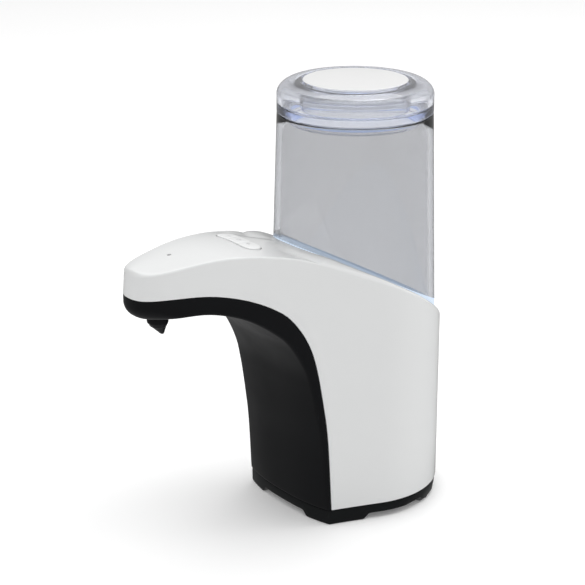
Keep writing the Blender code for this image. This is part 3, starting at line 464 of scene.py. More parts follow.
SWITCH = finish("switch_dark", (0.16, 0.16, 0.17), 0.5, grain=1500, bump=0.15)
CELL = finish("cell_sleeve", (0.09, 0.11, 0.15), 0.3, metallic=0.3, tone=0.12, grain=1000, bump=0.06)
LEAD = finish("lead_sheath", (0.035, 0.035, 0.042), 0.5, tone=0.15, grain=1600, bump=0.15)

SLOT_FINISH = {
    "shell_white": WHITE, "disc_white": DISC_WHITE, "key_white": KEY_WHITE, "cover_black": BLACK,
    "nozzle_black": BLACK, "base_black": BASE_BLACK, "tank_clear": TANK_CLEAR, "lid_clear": LID_CLEAR,
    "window_dark": WINDOW, "lens": EMITTER, "foot_rubber": RUBBER, "silicone": SILICONE, "nylon": NYLON,
    "steel": STEEL, "spring_nickel": NICKEL, "grey_plastic": GREY, "board": BOARD, "switch": SWITCH,
    "cell": CELL, "lead": LEAD,
}


def dress_nodes():
    """Gives every CAD node the procedural finish of its slot."""
    for part in frame["record"]["subparts"]:
        node = frame["nodes"][part["node"]]
        node.data.materials.clear()
        node.data.materials.append(SLOT_FINISH[part["material_slot"]])


# ---- shell ----

CROWN_LINE = np.array([(-130, 1.94), (-107, 1.85), (-80, 1.65), (-70, 1.6), (-60, 1.9), (-50, 2.6), (-42, 2.6)]) * MM
RIDGE_LINE = np.array([(-74, 30), (-70, 26), (-64, 22), (-57, 17), (-50, 11), (-42, 6)]) * MM
COLLAR_RISE = np.array([(0, 2.9), (20, 3.0), (37, 3.3), (58, 2.4), (82, 1.2), (96, 0.9), (135, 1.2), (180, 1.4)])
COLLAR_INNER = TANK_TOP_RADIUS + 2.4 * MM
COLLAR_WIDTH = np.array([(0, 12), (30, 14), (180, 14)])
VALLEY = 0.35 * MM
RIDGE_END = -36 * MM
RIDGE_SUNK = -2 * MM
RIM_CLEARANCE = 0.35 * MM
NOSE_MARGIN = 3 * MM
EDGE_RADIUS = 1.0 * MM
RIM_WIDTH = 1.8 * MM
NOSE_LEAN = 1.0 * MM

# How far the plan's outline is from the reservoir's axis, over the angle from the front
EDGE_TURN = np.concatenate([np.arctan2(FLANK[:, 0], -FLANK[:, 1]), [math.pi]])
EDGE_REACH = np.concatenate([np.hypot(FLANK[:, 0], FLANK[:, 1]), [REAR_RADIUS]])


def top_height(x, back):
    """Height of the body's top: a crowned ridge under the keys that runs into the collar round the reservoir."""
    x = np.abs(x)
    base = np.interp(back, *TOP.T)
    wide = half_width(back)
    ridge_half = np.where(back < RIDGE_LINE[0, 0], wide, np.minimum(wide, np.interp(back, *RIDGE_LINE.T)))
    crown = np.interp(back, *CROWN_LINE.T)
    share = x / np.maximum(ridge_half, 1 * MM)
    ridge = np.maximum(np.where(back < RIDGE_END, crown * (1 - share**2), RIDGE_SUNK), RIDGE_SUNK)
    radius = np.hypot(x, back)
    angle = np.degrees(np.arctan2(x, -back))
    edge = np.interp(np.radians(angle), EDGE_TURN, EDGE_REACH)
    across = np.minimum(edge - COLLAR_INNER, np.interp(angle, COLLAR_WIDTH[:, 0], COLLAR_WIDTH[:, 1] * MM))
    fall = np.clip((radius - COLLAR_INNER) / across, -0.1, 1)
    collar = np.interp(angle, COLLAR_RISE[:, 0], COLLAR_RISE[:, 1] * MM) * (1 - np.abs(fall)**2.8)
    return base + (ridge + collar + np.sqrt((ridge - collar)**2 + VALLEY**2)) / 2 - VALLEY / 2


def rim_points(angles):
    """(radius, height) of the shell's rim round the reservoir at angles from the front."""
    radius = np.full(len(angles), 40 * MM)
    for _ in range(4):
        height = top_height(radius * np.sin(angles), -radius * np.cos(angles))
        radius = tank_radius(height) + RIM_CLEARANCE
    return radius, height


def shell_outline():
    """Half the shell's plan from nose to back: points close together where the seam is steep."""
    nose = flank(160)
    nose = nose[nose[:, 1] < -61 * MM][::2]
    nose = nose[(nose[:, 0] == 0) | (nose[:, 0] > 0.7 * MM)]
    steep = SEAM[SEAM[:, 0] > -60 * MM]
    run = run_along(steep)
    places = np.linspace(0, run[-1], 56)
    backs = np.interp(places, run, steep[:, 0])
    lows = np.interp(places, run, steep[:, 1])
    side = np.column_stack([half_width(backs), backs])
    rest = np.linspace(-38 * MM, FLANK_END, 16)[1:-1]
    rear = np.column_stack([half_width(rest), rest])
    arc = rear_arc()
    half = np.vstack([nose, side, rear, arc])
    half[0, 0] = 0
    half[-1, 0] = 0
    low = np.concatenate([np.interp(nose[:, 1], *SEAM.T), lows, np.full(len(rear) + len(arc), FOOT_HEIGHT)])
    return half, low


def inner_targets(half):
    """Where each outline point's top ring ends: on the middle line ahead of the reservoir, else on its rim."""
    angle = np.arctan2(half[:, 0], -half[:, 1])
    turn = math.radians(38)
    front_radius = rim_points(np.array([0.0]))[0][0]
    run = run_along(half)
    last = np.argmax(angle > turn)
    straight = NOSE_REACH - NOSE_MARGIN - front_radius
    length = straight + front_radius * turn
    targets = np.zeros_like(half)
    for k in range(len(half)):
        if k >= last:
            phi = angle[k]
        else:
            way = run[k] / run[last] * length
            if way <= straight:
                targets[k] = (0, -NOSE_REACH + NOSE_MARGIN + way)
                continue
            phi = (way - straight) / front_radius
        radius = rim_points(np.array([phi]))[0][0]
        targets[k] = (radius * math.sin(phi), -radius * math.cos(phi))
    return targets


def make_shell():
    half, low = shell_outline()
    targets = inner_targets(half)
    wall_top = top_height(half[:, 0], half[:, 1]) - EDGE_RADIUS
    rows = [np.column_stack([half, low + (wall_top - low) * share]) for share in np.linspace(0, 1, 5)]
    gap = np.linalg.norm(targets - half, axis=1)[:, None]
    unit, most = (targets - half) / gap, gap * 0.45
    insets = [EDGE_RADIUS * (1 - math.cos(a)) for a in np.linspace(0, math.pi / 2, 6)[1:]]
    for inset in insets + [1.35 * MM, RIM_WIDTH]:
        rows.append(plate_row(half + unit * np.minimum(inset, most), half))
    start = half + unit * np.minimum(RIM_WIDTH, most)
    for share in np.linspace(0, 1, 22)[1:]:
        rows.append(plate_row(start + (targets - start) * share, half))
    rows = [lean(row) for row in rows]
    bm = bmesh.new()
    for side in (1, -1):
        grid_mesh(bm, [[(side * x, AXIS_Y + b, z) for x, b, z in row] for row in rows], False)
    bmesh.ops.remove_doubles(bm, verts=bm.verts, dist=MERGE)
    shell = from_bmesh("body_shell", bm, WHITE, 30)
    thicken(shell, SHELL_WALL, (0, 0, 1))
    soften(shell, 0.28 * MM, 2, 50)
    pull_in(shell)
    cut(shell, key_well(), drill(1.0 * MM, 0, LENS_BACK, 130 * MM, 150 * MM, 32))
    smoothed(shell, 48)
    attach(shell, "housing")
    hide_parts("upper_shell")


def pull_in(obj):
    """Brings back the few points that the wall or the softened edges throw clear of the body."""
    bm = bmesh.new()
    bm.from_mesh(obj.data)
    points = np.array([v.co for v in bm.verts])
    x, back = np.abs(points[:, 0]), points[:, 1] - AXIS_Y
    thrown = (points[:, 2] > top_height(x, back) + 0.12 * MM) | (PLAN.at(x, back) > 0.06 * MM)
    stray = [v for v, out in zip(bm.verts, thrown) if out]
    for _ in range(3):
        for vert in stray:
            near = [edge.other_vert(vert).co for edge in vert.link_edges if not thrown[edge.other_vert(vert).index]]
            if near:
                vert.co = sum(near, Vector()) / len(near)
                thrown[vert.index] = False
    bm.to_mesh(obj.data)
    bm.free()


def lean(row):
    """Draws the nose back a little towards its top."""
    back = row[:, 1]
    share = 1 - smooth_step(-NOSE_REACH, -112 * MM, back)
    rise = np.clip((row[:, 2] - FOOT_HEIGHT - 118.5 * MM) / (12 * MM), 0, 1.2)
    return row + np.column_stack([np.zeros(len(row)), NOSE_LEAN * share * rise, np.zeros(len(row))])


def plate_row(points, outline):
    """Points of the top at their heights, rounded off within EDGE_RADIUS of the outline."""
    x, back = points[:, 0], points[:, 1]
    away, _, _ = nearest_on(outline, np.abs(x), back)
    lack = np.clip(EDGE_RADIUS - away, 0, EDGE_RADIUS)
    drop = EDGE_RADIUS - np.sqrt(np.maximum(EDGE_RADIUS**2 - lack**2, 0))
    return np.column_stack([points, top_height(x, back) - drop])


def make_socket():
    """The white sleeve inside the shell and the sloping deck that the reservoir's foot stands on."""
    angles = np.linspace(-math.pi, math.pi, 144, endpoint=False)
    _, rim = rim_points(angles)

    def ring(radius, z):
        return [(r * math.sin(a), AXIS_Y - r * math.cos(a), h) for r, a, h in zip(radius, angles, z)]

    def deck(radius, drop):
        return ring(radius, TANK_FLOOR + TANK_SLOPE * radius * np.cos(angles) - drop)

    top = rim - 1.5 * MM
    foot = np.full(len(angles), 110 * MM)
    for _ in range(4):
        foot = TANK_FLOOR + TANK_SLOPE * tank_radius(foot) * np.cos(angles)
    inside, outside, face, under = 0.36 * MM, 0.9 * MM, 0.4 * MM, 1.6 * MM
    inner, outer = tank_radius(foot) + inside, tank_radius(foot) + outside
    rows = [ring(tank_radius(top) + inside, top), deck(inner, face)]
    rows += [deck(inner * share, face) for share in (0.6, 0.001)]
    rows += [deck(outer * share, under) for share in (0.001, 0.6, 1.0)]
    rows += [ring(tank_radius(top) + outside, top), rows[0]]
    bm = bmesh.new()
    grid_mesh(bm, rows, True)
    bmesh.ops.remove_doubles(bm, verts=bm.verts, dist=MERGE)
    socket = from_bmesh("body_socket", bm, WHITE, 40)
    cut(socket, drill(SPIGOT_RADIUS + 0.5 * MM, 0, SPIGOT_BACK, 60 * MM, 110 * MM))
    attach(socket, "housing")


# ---- keys ----

def key_surface():
    return float(top_height(np.array([0.0]), np.array([KEY_BACK]))[0])


def on_arm(obj):
    """Turns a mesh made round the origin onto the arm's slope under the keys."""
    obj.data.transform(Matrix.Translation(at(0, KEY_BACK, key_surface())) @ Matrix.Rotation(KEY_TILT, 4, "X"))
    return obj


def bent_to_crown(obj):
    """Bends a mesh made round the origin down at both ends, as the arm's crown falls."""
    fall = float(np.interp(KEY_BACK, *CROWN_LINE.T)) / float(half_width(KEY_BACK))**2
    for vert in obj.data.vertices:
        if vert.co.z > -1.5 * MM:
            vert.co.z -= fall * vert.co.x**2
    return obj


def stadium(half_length, half_depth):
    straight = half_length - half_depth
    right = [(straight + half_depth * math.sin(a), -half_depth * math.cos(a)) for a in np.linspace(0, math.pi, 25)]
    return right + [(-x, -y) for x, y in right]


def prism(name, outline, low, high, material):
    bm = bmesh.new()
    rows = grid_mesh(bm, [[(x, y, z) for x, y in outline] for z in (low, high)], True)
    bm.faces.new(rows[0][::-1])
    bm.faces.new(rows[1])
    return from_bmesh(name, bm, material)


def key_well():
    outline = stadium(1.5 * KEY_PITCH + KEY_GAP, KEY_DEPTH / 2 + KEY_GAP)
    return on_arm(prism("key_well", outline, -9 * MM, 9 * MM, None))


def key_outline(slot, inset):
    """A third of the oblong key bar, cut at straight lines, moved inwards by inset."""
    half = 1.5 * KEY_PITCH - inset
    depth = KEY_DEPTH / 2 - inset
    low = (slot - 0.5) * KEY_PITCH + KEY_GAP / 2 + inset
    high = (slot + 0.5) * KEY_PITCH - KEY_GAP / 2 - inset
    if slot == 0:
        xs = np.linspace(low, high, 14)
        return [(x, -depth) for x in xs] + [(x, depth) for x in xs[::-1]]
    turn = KEY_DEPTH / 2
    centre = 1.5 * KEY_PITCH - turn
    bow = [(centre + (turn - inset) * math.sin(a), -(turn - inset) * math.cos(a)) for a in np.linspace(0, math.pi, 25)]
    near = max(low if slot > 0 else -high, -half)
    right = [(near, -depth)] + [(x, y) for x, y in bow if x > near] + [(near, depth)]
    return right if slot > 0 else [(-x, y) for x, y in right][::-1]


def make_keys():
    for slot, name in ((-1, "minus"), (0, "power"), (1, "plus")):
        bm = bmesh.new()
        # inset and height up the cap, in mm
        rings = [(0.25, -3.2), (0.0, -2.9), (0.0, 0.15), (0.06, 0.38), (0.2, 0.56), (0.42, 0.66), (0.75, 0.70)]
        rows = [[(x, y, z * MM) for x, y in key_outline(slot, inset * MM)] for inset, z in rings]
        verts = grid_mesh(bm, rows, True)
        bm.faces.new(verts[0][::-1])
        bm.faces.new(verts[-1])
        key = on_arm(bent_to_crown(from_bmesh("key_cap_" + name, bm, KEY_WHITE)))
        mark = on_arm(bent_to_crown(key_mark(name, slot)))
        for piece in (key, mark):
            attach(piece, "key_" + name)
        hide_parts("key_" + name)


def key_mark(name, slot):
    """A shallow grey inlay: a bar, a cross, or an open ring with a stroke."""
    low, high = 0.66 * MM, 0.73 * MM
    x = slot * MARK_PITCH
    bm = bmesh.new()

    def bar(x0, y0, x1, y1):
        place = Matrix.Translation(((x0 + x1) / 2 * MM + x, (y0 + y1) / 2 * MM, (low + high) / 2))
        bmesh.ops.create_cube(bm, size=1, matrix=place @ Matrix.Diagonal(
            ((x1 - x0) * MM, (y1 - y0) * MM, high - low, 1)))

    if name == "minus":
        bar(-1.1, -0.2, 1.1, 0.2)
    elif name == "plus":
        bar(-1.1, -0.2, 1.1, 0.2)
        bar(-0.2, 0.2, 0.2, 1.1)
        bar(-0.2, -1.1, 0.2, -0.2)
    else:
        bar(-0.17, 0.3, 0.17, 1.45)
        angles = [math.radians(a) for a in np.linspace(125, 415, 28)]
        loops = [[(x + r * MM * math.cos(a), r * MM * math.sin(a), z) for a in angles]
                 for r, z in ((0.85, low), (1.2, low), (1.2, high), (0.85, high), (0.85, low))]
        verts = grid_mesh(bm, loops, False)
        for end in (0, -1):
            bm.faces.new([row[end] for row in verts[:4]])
        bmesh.ops.remove_doubles(bm, verts=bm.verts, dist=0.000005)
    return from_bmesh("key_mark_" + name, bm, MARK)


def make_lens():
    surface = float(top_height(np.array([0.0]), np.array([LENS_BACK]))[0])
    profile = turned_profile(0, surface, ((0, 0.05), (0.4, 0.03), (0.75, -0.05), (0.88, -0.2), (0.9, -0.5),
                                          (0.9, -4), (2.2, -4), (2.2, -5), (0, -5)))
    lens = turned("status_light", profile, LAMP, 0, LENS_BACK, 40)
    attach(lens, "housing")
    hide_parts("status_lens")


# ---- front cover ----

def body_field(x, back, z):
    """Below zero inside the body: the plan outline and the bulged front, with the corner between them rounded."""
    outside = PLAN.at(np.abs(x), back)
    share = np.abs(x) / (half_width(back) + 2 * MM)
    ahead = FRONT.at(back, z) - BULGE.at(back, z) * (1 - np.minimum(share, 1)**2.6)
    round_by = (1.1 + 4.6 * (1 - smooth_step(-127 * MM, -108 * MM, back))) * MM
    a, b = outside + round_by, ahead + round_by
    return np.minimum(np.maximum(a, b), 0) + np.sqrt(np.maximum(a, 0)**2 + np.maximum(b, 0)**2) - round_by


def cross_seam(point, inward):
    """Where a line from the front surface first meets the seam line."""
    for k in range(len(SEAM) - 1):
        a, b = SEAM[k], SEAM[k + 1]
        matrix = np.array([inward, a - b]).T
        if abs(np.linalg.det(matrix)) < 1e-12:
            continue
        reach, share = np.linalg.solve(matrix, a - point)
        if reach > 0 and -0.001 <= share <= 1.001:
            return point + inward * reach
    return None


def cover_stations():
    """(origin, outward direction, depth) of each section, from the nose round and down to the base."""
    slope = np.gradient(UNDER, axis=0)
    slope /= np.linalg.norm(slope, axis=1)[:, None]
    out = np.column_stack([slope[:, 1], -slope[:, 0]])
    stations = []
    for k in range(0, len(UNDER) - 1, 2):
        if UNDER[k, 0] < -121 * MM:
            continue
        origin = cross_seam(UNDER[k], -out[k])
        if origin is None or origin[1] < FOOT_HEIGHT + 0.6 * MM or UNDER[k, 1] < FOOT_HEIGHT + 0.6 * MM:
            continue
        stations.append((origin + out[k] * GAP, out[k], float(np.linalg.norm(origin - UNDER[k]))))
    foot = np.array([-38 * MM, FOOT_HEIGHT])
    stations.append((foot - (GAP, 0), np.array([-1.0, 0.0]), 0.8 * MM))
    origin, down, depth = stations[0]
    start = math.atan2(down[1], down[0])
    return [(origin, np.array([math.cos(turn), math.sin(turn)]), depth)
            for turn in np.linspace(-math.pi, start, 18)[:-1]] + stations


def cover_rows():
    rows = []
    for origin, out, depth in cover_stations():
        wide = float(half_width(origin[0]))
        side = depth * (1 - (1 - np.linspace(0, 1, 12))**1.7)
        aims = [(wide, d) for d in side]
        for share in np.linspace(0, 1, 25)[1:]:
            x = wide * (1 - share**1.5)
            aims.append((x, depth + 2.5 * MM * (1 - (x / wide)**2)))
        aims = np.array(aims)
        unit = aims / np.linalg.norm(aims, axis=1)[:, None]
        near, far = np.zeros(len(unit)), np.full(len(unit), 62 * MM)
        for _ in range(34):
            middle = (near + far) / 2
            x = unit[:, 0] * middle
            back = origin[0] + unit[:, 1] * out[0] * middle
            z = origin[1] + unit[:, 1] * out[1] * middle
            inside = body_field(x, back, z) < 0
            near, far = np.where(inside, middle, near), np.where(inside, far, middle)
        x = unit[:, 0] * near
        x[-1] = 0
        back = origin[0] + unit[:, 1] * out[0] * near
        z = origin[1] + unit[:, 1] * out[1] * near
        half = np.column_stack([x, AXIS_Y + back, z])
        rows.append(np.vstack([half, half[-2::-1] * (-1, 1, 1)]))
    return rows


def make_cover():
    bm = bmesh.new()
    grid_mesh(bm, cover_rows(), False)
    bmesh.ops.remove_doubles(bm, verts=bm.verts, dist=0.00002)
    cover = from_bmesh("body_cover", bm, BLACK, 40)
    thicken(cover, COVER_WALL, (0, -1, -1), False)
    soften(cover, 0.2 * MM, 2, 60)
    half_x, half_y = SENSOR_HALF
    window = box_cutter(at(-half_x - GAP, SENSOR_BACK - half_y - GAP, 100 * MM),
                        at(half_x + GAP, SENSOR_BACK + half_y + GAP, 124 * MM))
    cut(cover, window, drill(NOZZLE_RADIUS + GAP, 0, NOZZLE_BACK, 100 * MM, 124 * MM))
    smoothed(cover, 35)
    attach(cover, "housing")
    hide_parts("front_cover")


# ---- nozzle ----

NOZZLE_RINGS = (  # height over the shell's edge, front, rear, half width, all in mm
    (119.0, -115.7, -111.9, 1.9), (115.4, -115.7, -111.9, 1.9), (115.3, -120.4, -107.2, 6.6),
    (113.9, -120.4, -107.2, 6.6), (113.8, -118.8, -108.8, 5.0), (104.9, -118.8, -108.8, 5.0),
    (104.3, -118.65, -108.85, 4.9), (103.8, -118.2, -109.0, 4.6), (103.3, -117.8, -109.3, 4.3),
    (102.9, -117.65, -109.5, 4.1), (102.5, -117.3, -109.7, 3.85), (102.1, -116.7, -109.85, 3.5),
    (101.0, -115.5, -110.15, 2.8), (99.3, -113.6, -110.5, 1.75), (98.6, -112.9, -110.7, 1.3),
    (98.2, -112.4, -110.9, 0.9), (98.0, -111.9, -111.15, 0.45),
)


def make_nozzle():
    rows = []
    for height, front, rear, half in NOZZLE_RINGS:
        middle, reach = (front + rear) / 2, (rear - front) / 2
        rows.append([(half * MM * math.cos(a), AXIS_Y + (middle + reach * math.sin(a)) * MM, height * MM + FOOT_HEIGHT)
                     for a in np.linspace(0, 2 * math.pi, 48, endpoint=False)])
    bm = bmesh.new()
    verts = grid_mesh(bm, rows, True)
    bm.faces.new(verts[0][::-1])
    bm.faces.new(verts[-1])
    nozzle = from_bmesh("nozzle_beak", bm, BLACK, 28)
    base = FOOT_HEIGHT
    bore = drill(1.1 * MM, 0, NOZZLE_BACK, 104 * MM + base, 122 * MM + base, 24)
    chamber = drill(2.8 * MM, 0, NOZZLE_BACK, 105.6 * MM + base, 113 * MM + base, 32)
    outlet = rod_cutter(0.45 * MM, at(0, NOZZLE_BACK + 3.2 * MM, 90 * MM),
                        at(0, NOZZLE_BACK + 0.6 * MM, 108 * MM + base), 20)
    cut(nozzle, bore, chamber, outlet)
    smoothed(nozzle, 28)
    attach(nozzle, "housing")
    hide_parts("nozzle")


# ---- reservoir and lid ----

def floor_height(back, rise=0.0):
    return TANK_FLOOR + rise - TANK_SLOPE * back


def make_tank():
    steps = ROUND_STEPS
    angles = np.linspace(0, 2 * math.pi, steps, endpoint=False)
    c, s = np.cos(angles), np.sin(angles)

    def ring_at(radius, z):
        return [(r * ca, AXIS_Y + r * sa, h) for r, ca, sa, h in
                zip(np.broadcast_to(radius, steps), c, s, np.broadcast_to(z, steps))]

    def on_floor(radius, rise, lift=0.0):
        radius = np.broadcast_to(radius, steps)
        return ring_at(radius, floor_height(radius * s, rise) + lift)

    low = np.full(steps, 110 * MM)
    for _ in range(4):
        low = floor_height(tank_radius(low) * s)
    outer = tank_radius(low)
    thick = TANK_FLOOR_THICKNESS
    rows = [on_floor(outer * share, 0) for share in (0.001, 0.25, 0.5, 0.75, 0.9)]
    fillet, lip, inner_lip, corner = 1.2 * MM, 0.8 * MM, 0.6 * MM, 4.0 * MM
    quarter = np.linspace(0, math.pi / 2, 5)
    for a in quarter:
        inset = fillet * (1 - math.sin(a))
        rows.append(ring_at(outer - inset, low + TANK_SLOPE * inset * s + fillet * (1 - math.cos(a))))
    for share in np.linspace(0, 1, 14)[1:-1]:
        z = low + fillet + (TANK_TOP - lip - low - fillet) * share
        rows.append(ring_at(tank_radius(z), z))
    for a in quarter:
        rows.append(ring_at(tank_radius(TANK_TOP) - lip * (1 - math.cos(a)), TANK_TOP - lip * (1 - math.sin(a))))
    inner_top = tank_radius(TANK_TOP) - TANK_WALL
    for a in quarter:
        rows.append(ring_at(inner_top + inner_lip * (1 - math.sin(a)), TANK_TOP - inner_lip * (1 - math.cos(a))))
    inner_low = low + thick + corner
    for share in np.linspace(0, 1, 14)[1:-1]:
        z = TANK_TOP - inner_lip + (inner_low - TANK_TOP + inner_lip) * share
        rows.append(ring_at(tank_radius(z) - TANK_WALL, z))
    inner = tank_radius(inner_low) - TANK_WALL
    for a in np.linspace(0, math.pi / 2, 8):
        inset = corner * (1 - math.cos(a))
        rows.append(on_floor(inner - inset, thick, corner * (1 - math.sin(a))))
    rows += [on_floor((inner - corner) * share, thick) for share in (0.75, 0.5, 0.25, 0.001)]
    bm = bmesh.new()
    verts = grid_mesh(bm, rows, True)
    for ring in (verts[0], verts[-1]):
        bmesh.ops.pointmerge(bm, verts=ring, merge_co=sum((v.co for v in ring), Vector()) / steps)
    tank = from_bmesh("tank_body", bm, TANK_CLEAR, 50)
    spigot_top = floor_height(SPIGOT_BACK)
    top, step, end = spigot_top + 1.5 * MM, SPIGOT_END + 4 * MM, SPIGOT_END + 1.4 * MM
    profile = [(0, top), (SPIGOT_RADIUS, top), (SPIGOT_RADIUS, step), (1.7 * MM, step), (1.7 * MM, end), (0, end)]
    spigot = turned("spigot", profile, None, 0, SPIGOT_BACK, 32)
    joined(tank, spigot)
    bore = drill(1.1 * MM, 0, SPIGOT_BACK, SPIGOT_END - 5 * MM, spigot_top + 12 * MM, 24)
    sink = drill(0.8 * MM, 0, SPIGOT_BACK, spigot_top + 0.4 * MM, spigot_top + 7 * MM, 32, 5.5 * MM)
    cut(tank, bore, sink)
    smoothed(tank, 40)
    tank.data.materials.clear()
    tank.data.materials.append(TANK_CLEAR)
    tank.data.materials.append(TANK_FOOT_GLOW)
    # Faces in a band just above the reservoir's floor get the glowing finish, painted light for the thick clear floor
    for face in tank.data.polygons:
        back = face.center.y - AXIS_Y
        foot = floor_height(back, -0.5 * MM) < face.center.z < floor_height(back, 6.8 * MM)
        face.material_index = 1 if foot else 0
    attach(tank, "housing")
    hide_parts("reservoir")


def make_seal():
    middle = TANK_TOP + GAP - SEAL_DROP
    inner, outer = PLUG_RADIUS + 0.1 * MM, PLUG_RADIUS + 1.25 * MM
    profile = turned_profile(outer, middle, ((-0.4, -0.8), (0, -0.35), (0, 0.35), (-0.4, 0.8)))
    profile = [(inner, middle - 0.8 * MM)] + profile + [(inner, middle + 0.8 * MM)]
    # The ring's glowing finish is painted light along the seam under the lid
    seal = turned("lid_ring", profile, SEAL_GLOW, angle=40, closed=True)
    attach(seal, "lid")
    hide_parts("lid_seal")


def make_lid():
    base = TANK_TOP + GAP
    shoulder = base + 8.6 * MM
    seat = LID_TOP - 0.55 * MM
    roof = seat - 2.4 * MM
    rim = LID_DISC_RADIUS + 2.2 * MM
    outer = TANK_TOP_RADIUS
    crest = LID_TOP - 0.1 * MM
    wall = 2.4 * MM
    turn = np.linspace(0.0, math.pi / 2, 18)
    profile = [(0, seat), (LID_DISC_RADIUS + 0.15 * MM, seat), (LID_DISC_RADIUS + 0.2 * MM, crest - 0.1 * MM),
               (LID_DISC_RADIUS + 0.3 * MM, crest)]
    profile += [(rim + (outer - rim) * math.sin(a), shoulder + (crest - shoulder) * math.cos(a)) for a in turn]
    profile += [(outer, base + 0.5 * MM), (outer - 0.5 * MM, base)]
    profile += turned_profile(PLUG_RADIUS, base, ((0.3, 0), (0, -0.4)))
    profile += turned_profile(PLUG_RADIUS, base - PLUG_DEPTH, ((0, 0.5), (-0.5, 0), (-1.6, 0), (-2, 0.4)))
    profile += turned_profile(PLUG_RADIUS, base, ((-2, 2.4), (-1.4, 3.2)))
    profile += turned_profile(outer - wall, base, ((-1.2, 3.4), (0, 4.6)))
    near, far = WELL_RADIUS + 3.6 * MM, outer - wall
    low, high = shoulder - 0.6 * MM, roof - 0.4 * MM
    profile += [(near + (far - near) * math.sin(a), low + (high - low) * math.cos(a)) for a in turn[::-1]]
    profile += turned_profile(WELL_RADIUS, roof, ((2.4, -0.7), (1.7, -1.6)))
    profile += turned_profile(WELL_RADIUS, base, ((1.6, 1.4), (1.2, 1), (0.4, 1), (0, 1.4)))
    profile += turned_profile(WELL_RADIUS, roof, ((0, -1), (-1, 0))) + [(0, roof)]
    lid = turned("lid_cap", profile, LID_CLEAR, angle=40)
    disc = turned_profile(LID_DISC_RADIUS, LID_TOP, ((-1.2, 0), (-0.6, -0.05), (-0.2, -0.18), (0, -0.4)))
    disc = [(0, LID_TOP)] + disc + [(LID_DISC_RADIUS, seat + 0.05 * MM), (0, seat + 0.05 * MM)]
    plate = turned("lid_plate", disc, DISC_WHITE, angle=40)
    for piece, node, slot in ((lid, "lid", "lid_clear"), (plate, "lid_disc", "disc_white")):
        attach(piece, "lid")
        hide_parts(node)


# ---- base ----

def base_half():
    """Half the base's plan from the middle of the front round to the back."""
    corner = -39.2 * MM
    wide = float(half_width(corner))
    front = [(wide * u, corner - (FRONT_BULGE - 0.4 * MM) * (1 - u**2.6)) for u in np.linspace(0, 1, 30)]
    sides = [(float(half_width(b)), b) for b in np.linspace(corner, FLANK_END, 24)[1:]]
    half = np.array(front + sides + rear_arc()[1:])
    half[0, 0] = half[-1, 0] = 0
    return half


def inset_loop(half, inset):
    loop = np.vstack([half, half[-2:0:-1] * (-1, 1)])
    ahead, behind = np.roll(loop, -1, axis=0), np.roll(loop, 1, axis=0)
    tangent = ahead - behind
    inward = np.column_stack([-tangent[:, 1], tangent[:, 0]]) / np.linalg.norm(tangent, axis=1)[:, None]
    for _ in range(6):
        inward = (np.roll(inward, 1, axis=0) + 2 * inward + np.roll(inward, -1, axis=0)) / 4
    inward /= np.linalg.norm(inward, axis=1)[:, None]
    return loop + np.broadcast_to(inset, len(loop))[:, None] * inward


def foot_depth(loop):
    """How far each outline point's foot reaches down, 0 to 1, with slanted ends."""
    half = base_half()
    run = run_along(half)

    def near(x, back):
        return run[np.argmin(np.hypot(half[:, 0] - x, half[:, 1] - back))]

    spans = ((near(17.3 * MM, -43.4 * MM), near(38.6 * MM, -20.4 * MM)),
             (near(40.5 * MM, 13 * MM), near(33 * MM, 27 * MM)))
    place = np.concatenate([run, run[-2:0:-1]])
    depth = np.zeros(len(loop))
    slant = 2.6 * MM
    for start, end in spans:
        begun, left = np.clip((place - start) / slant + 0.5, 0, 1), np.clip((end - place) / slant + 0.5, 0, 1)
        depth = np.maximum(depth, begun * left)
    return depth


def make_base():
    half = base_half()
    loop = inset_loop(half, 0)
    depth = foot_depth(loop)
    bottom = PLATE_BOTTOM - (PLATE_BOTTOM - 0.12 * MM) * depth
    rear = smooth_step(0, 10 * MM, loop[:, 1])
    top = FOOT_HEIGHT - GAP
    rows = [[(x, AXIS_Y + b, z) for x, b in inset_loop(half, inset * MM)]
            for inset, z in ((12.0, top), (1.2, top), (0.6, top - 0.45 * MM), (0.5, top - 1.6 * MM))]
    for inset, more, lift in ((0.55, 0.2, 1.9), (0.6, 1.0, 0.7), (0.75, 1.8, 0.2), (1.2, 2.4, 0.0), (8.5, 0.0, 0.0)):
        ring = inset_loop(half, inset * MM + more * MM * rear)
        rows.append([(x, AXIS_Y + b, z + lift * MM * (0.35 + 0.65 * d)) for (x, b), z, d in zip(ring, bottom, depth)])
    rows += [[(x, AXIS_Y + b, PLATE_BOTTOM) for x, b in inset_loop(half, inset * MM)] for inset in (10.5, 12)]
    bm = bmesh.new()
    verts = grid_mesh(bm, rows, True)
    bm.faces.new(verts[0][::-1])
    bm.faces.new(verts[-1])
    base = from_bmesh("base_foot", bm, BASE_BLACK, 35)
    half_x, half_y = BOX_HALF
    cutters = [box_cutter(at(-half_x - GAP, CELL_BACK - half_y - 3 * MM, -5 * MM),
                          at(half_x + GAP, CELL_BACK + half_y + 3 * MM, 20 * MM))]
    for x, back in SCREW_PLACES:
        cutters.append(drill(1.8 * MM, x, back, -2 * MM, 12 * MM, 24))
        cutters.append(drill(3.2 * MM, x, back, -2 * MM, 5.4 * MM, 40))
    for side in (-1, 1):
        for x, back in PAD_PLACES:
            cutters.append(drill(3.75 * MM, side * x, back, -2 * MM, 1.0 * MM, 40))
    cut(base, *cutters)
    smoothed(base, 35)
    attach(base, "housing")
    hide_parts("base_plate")


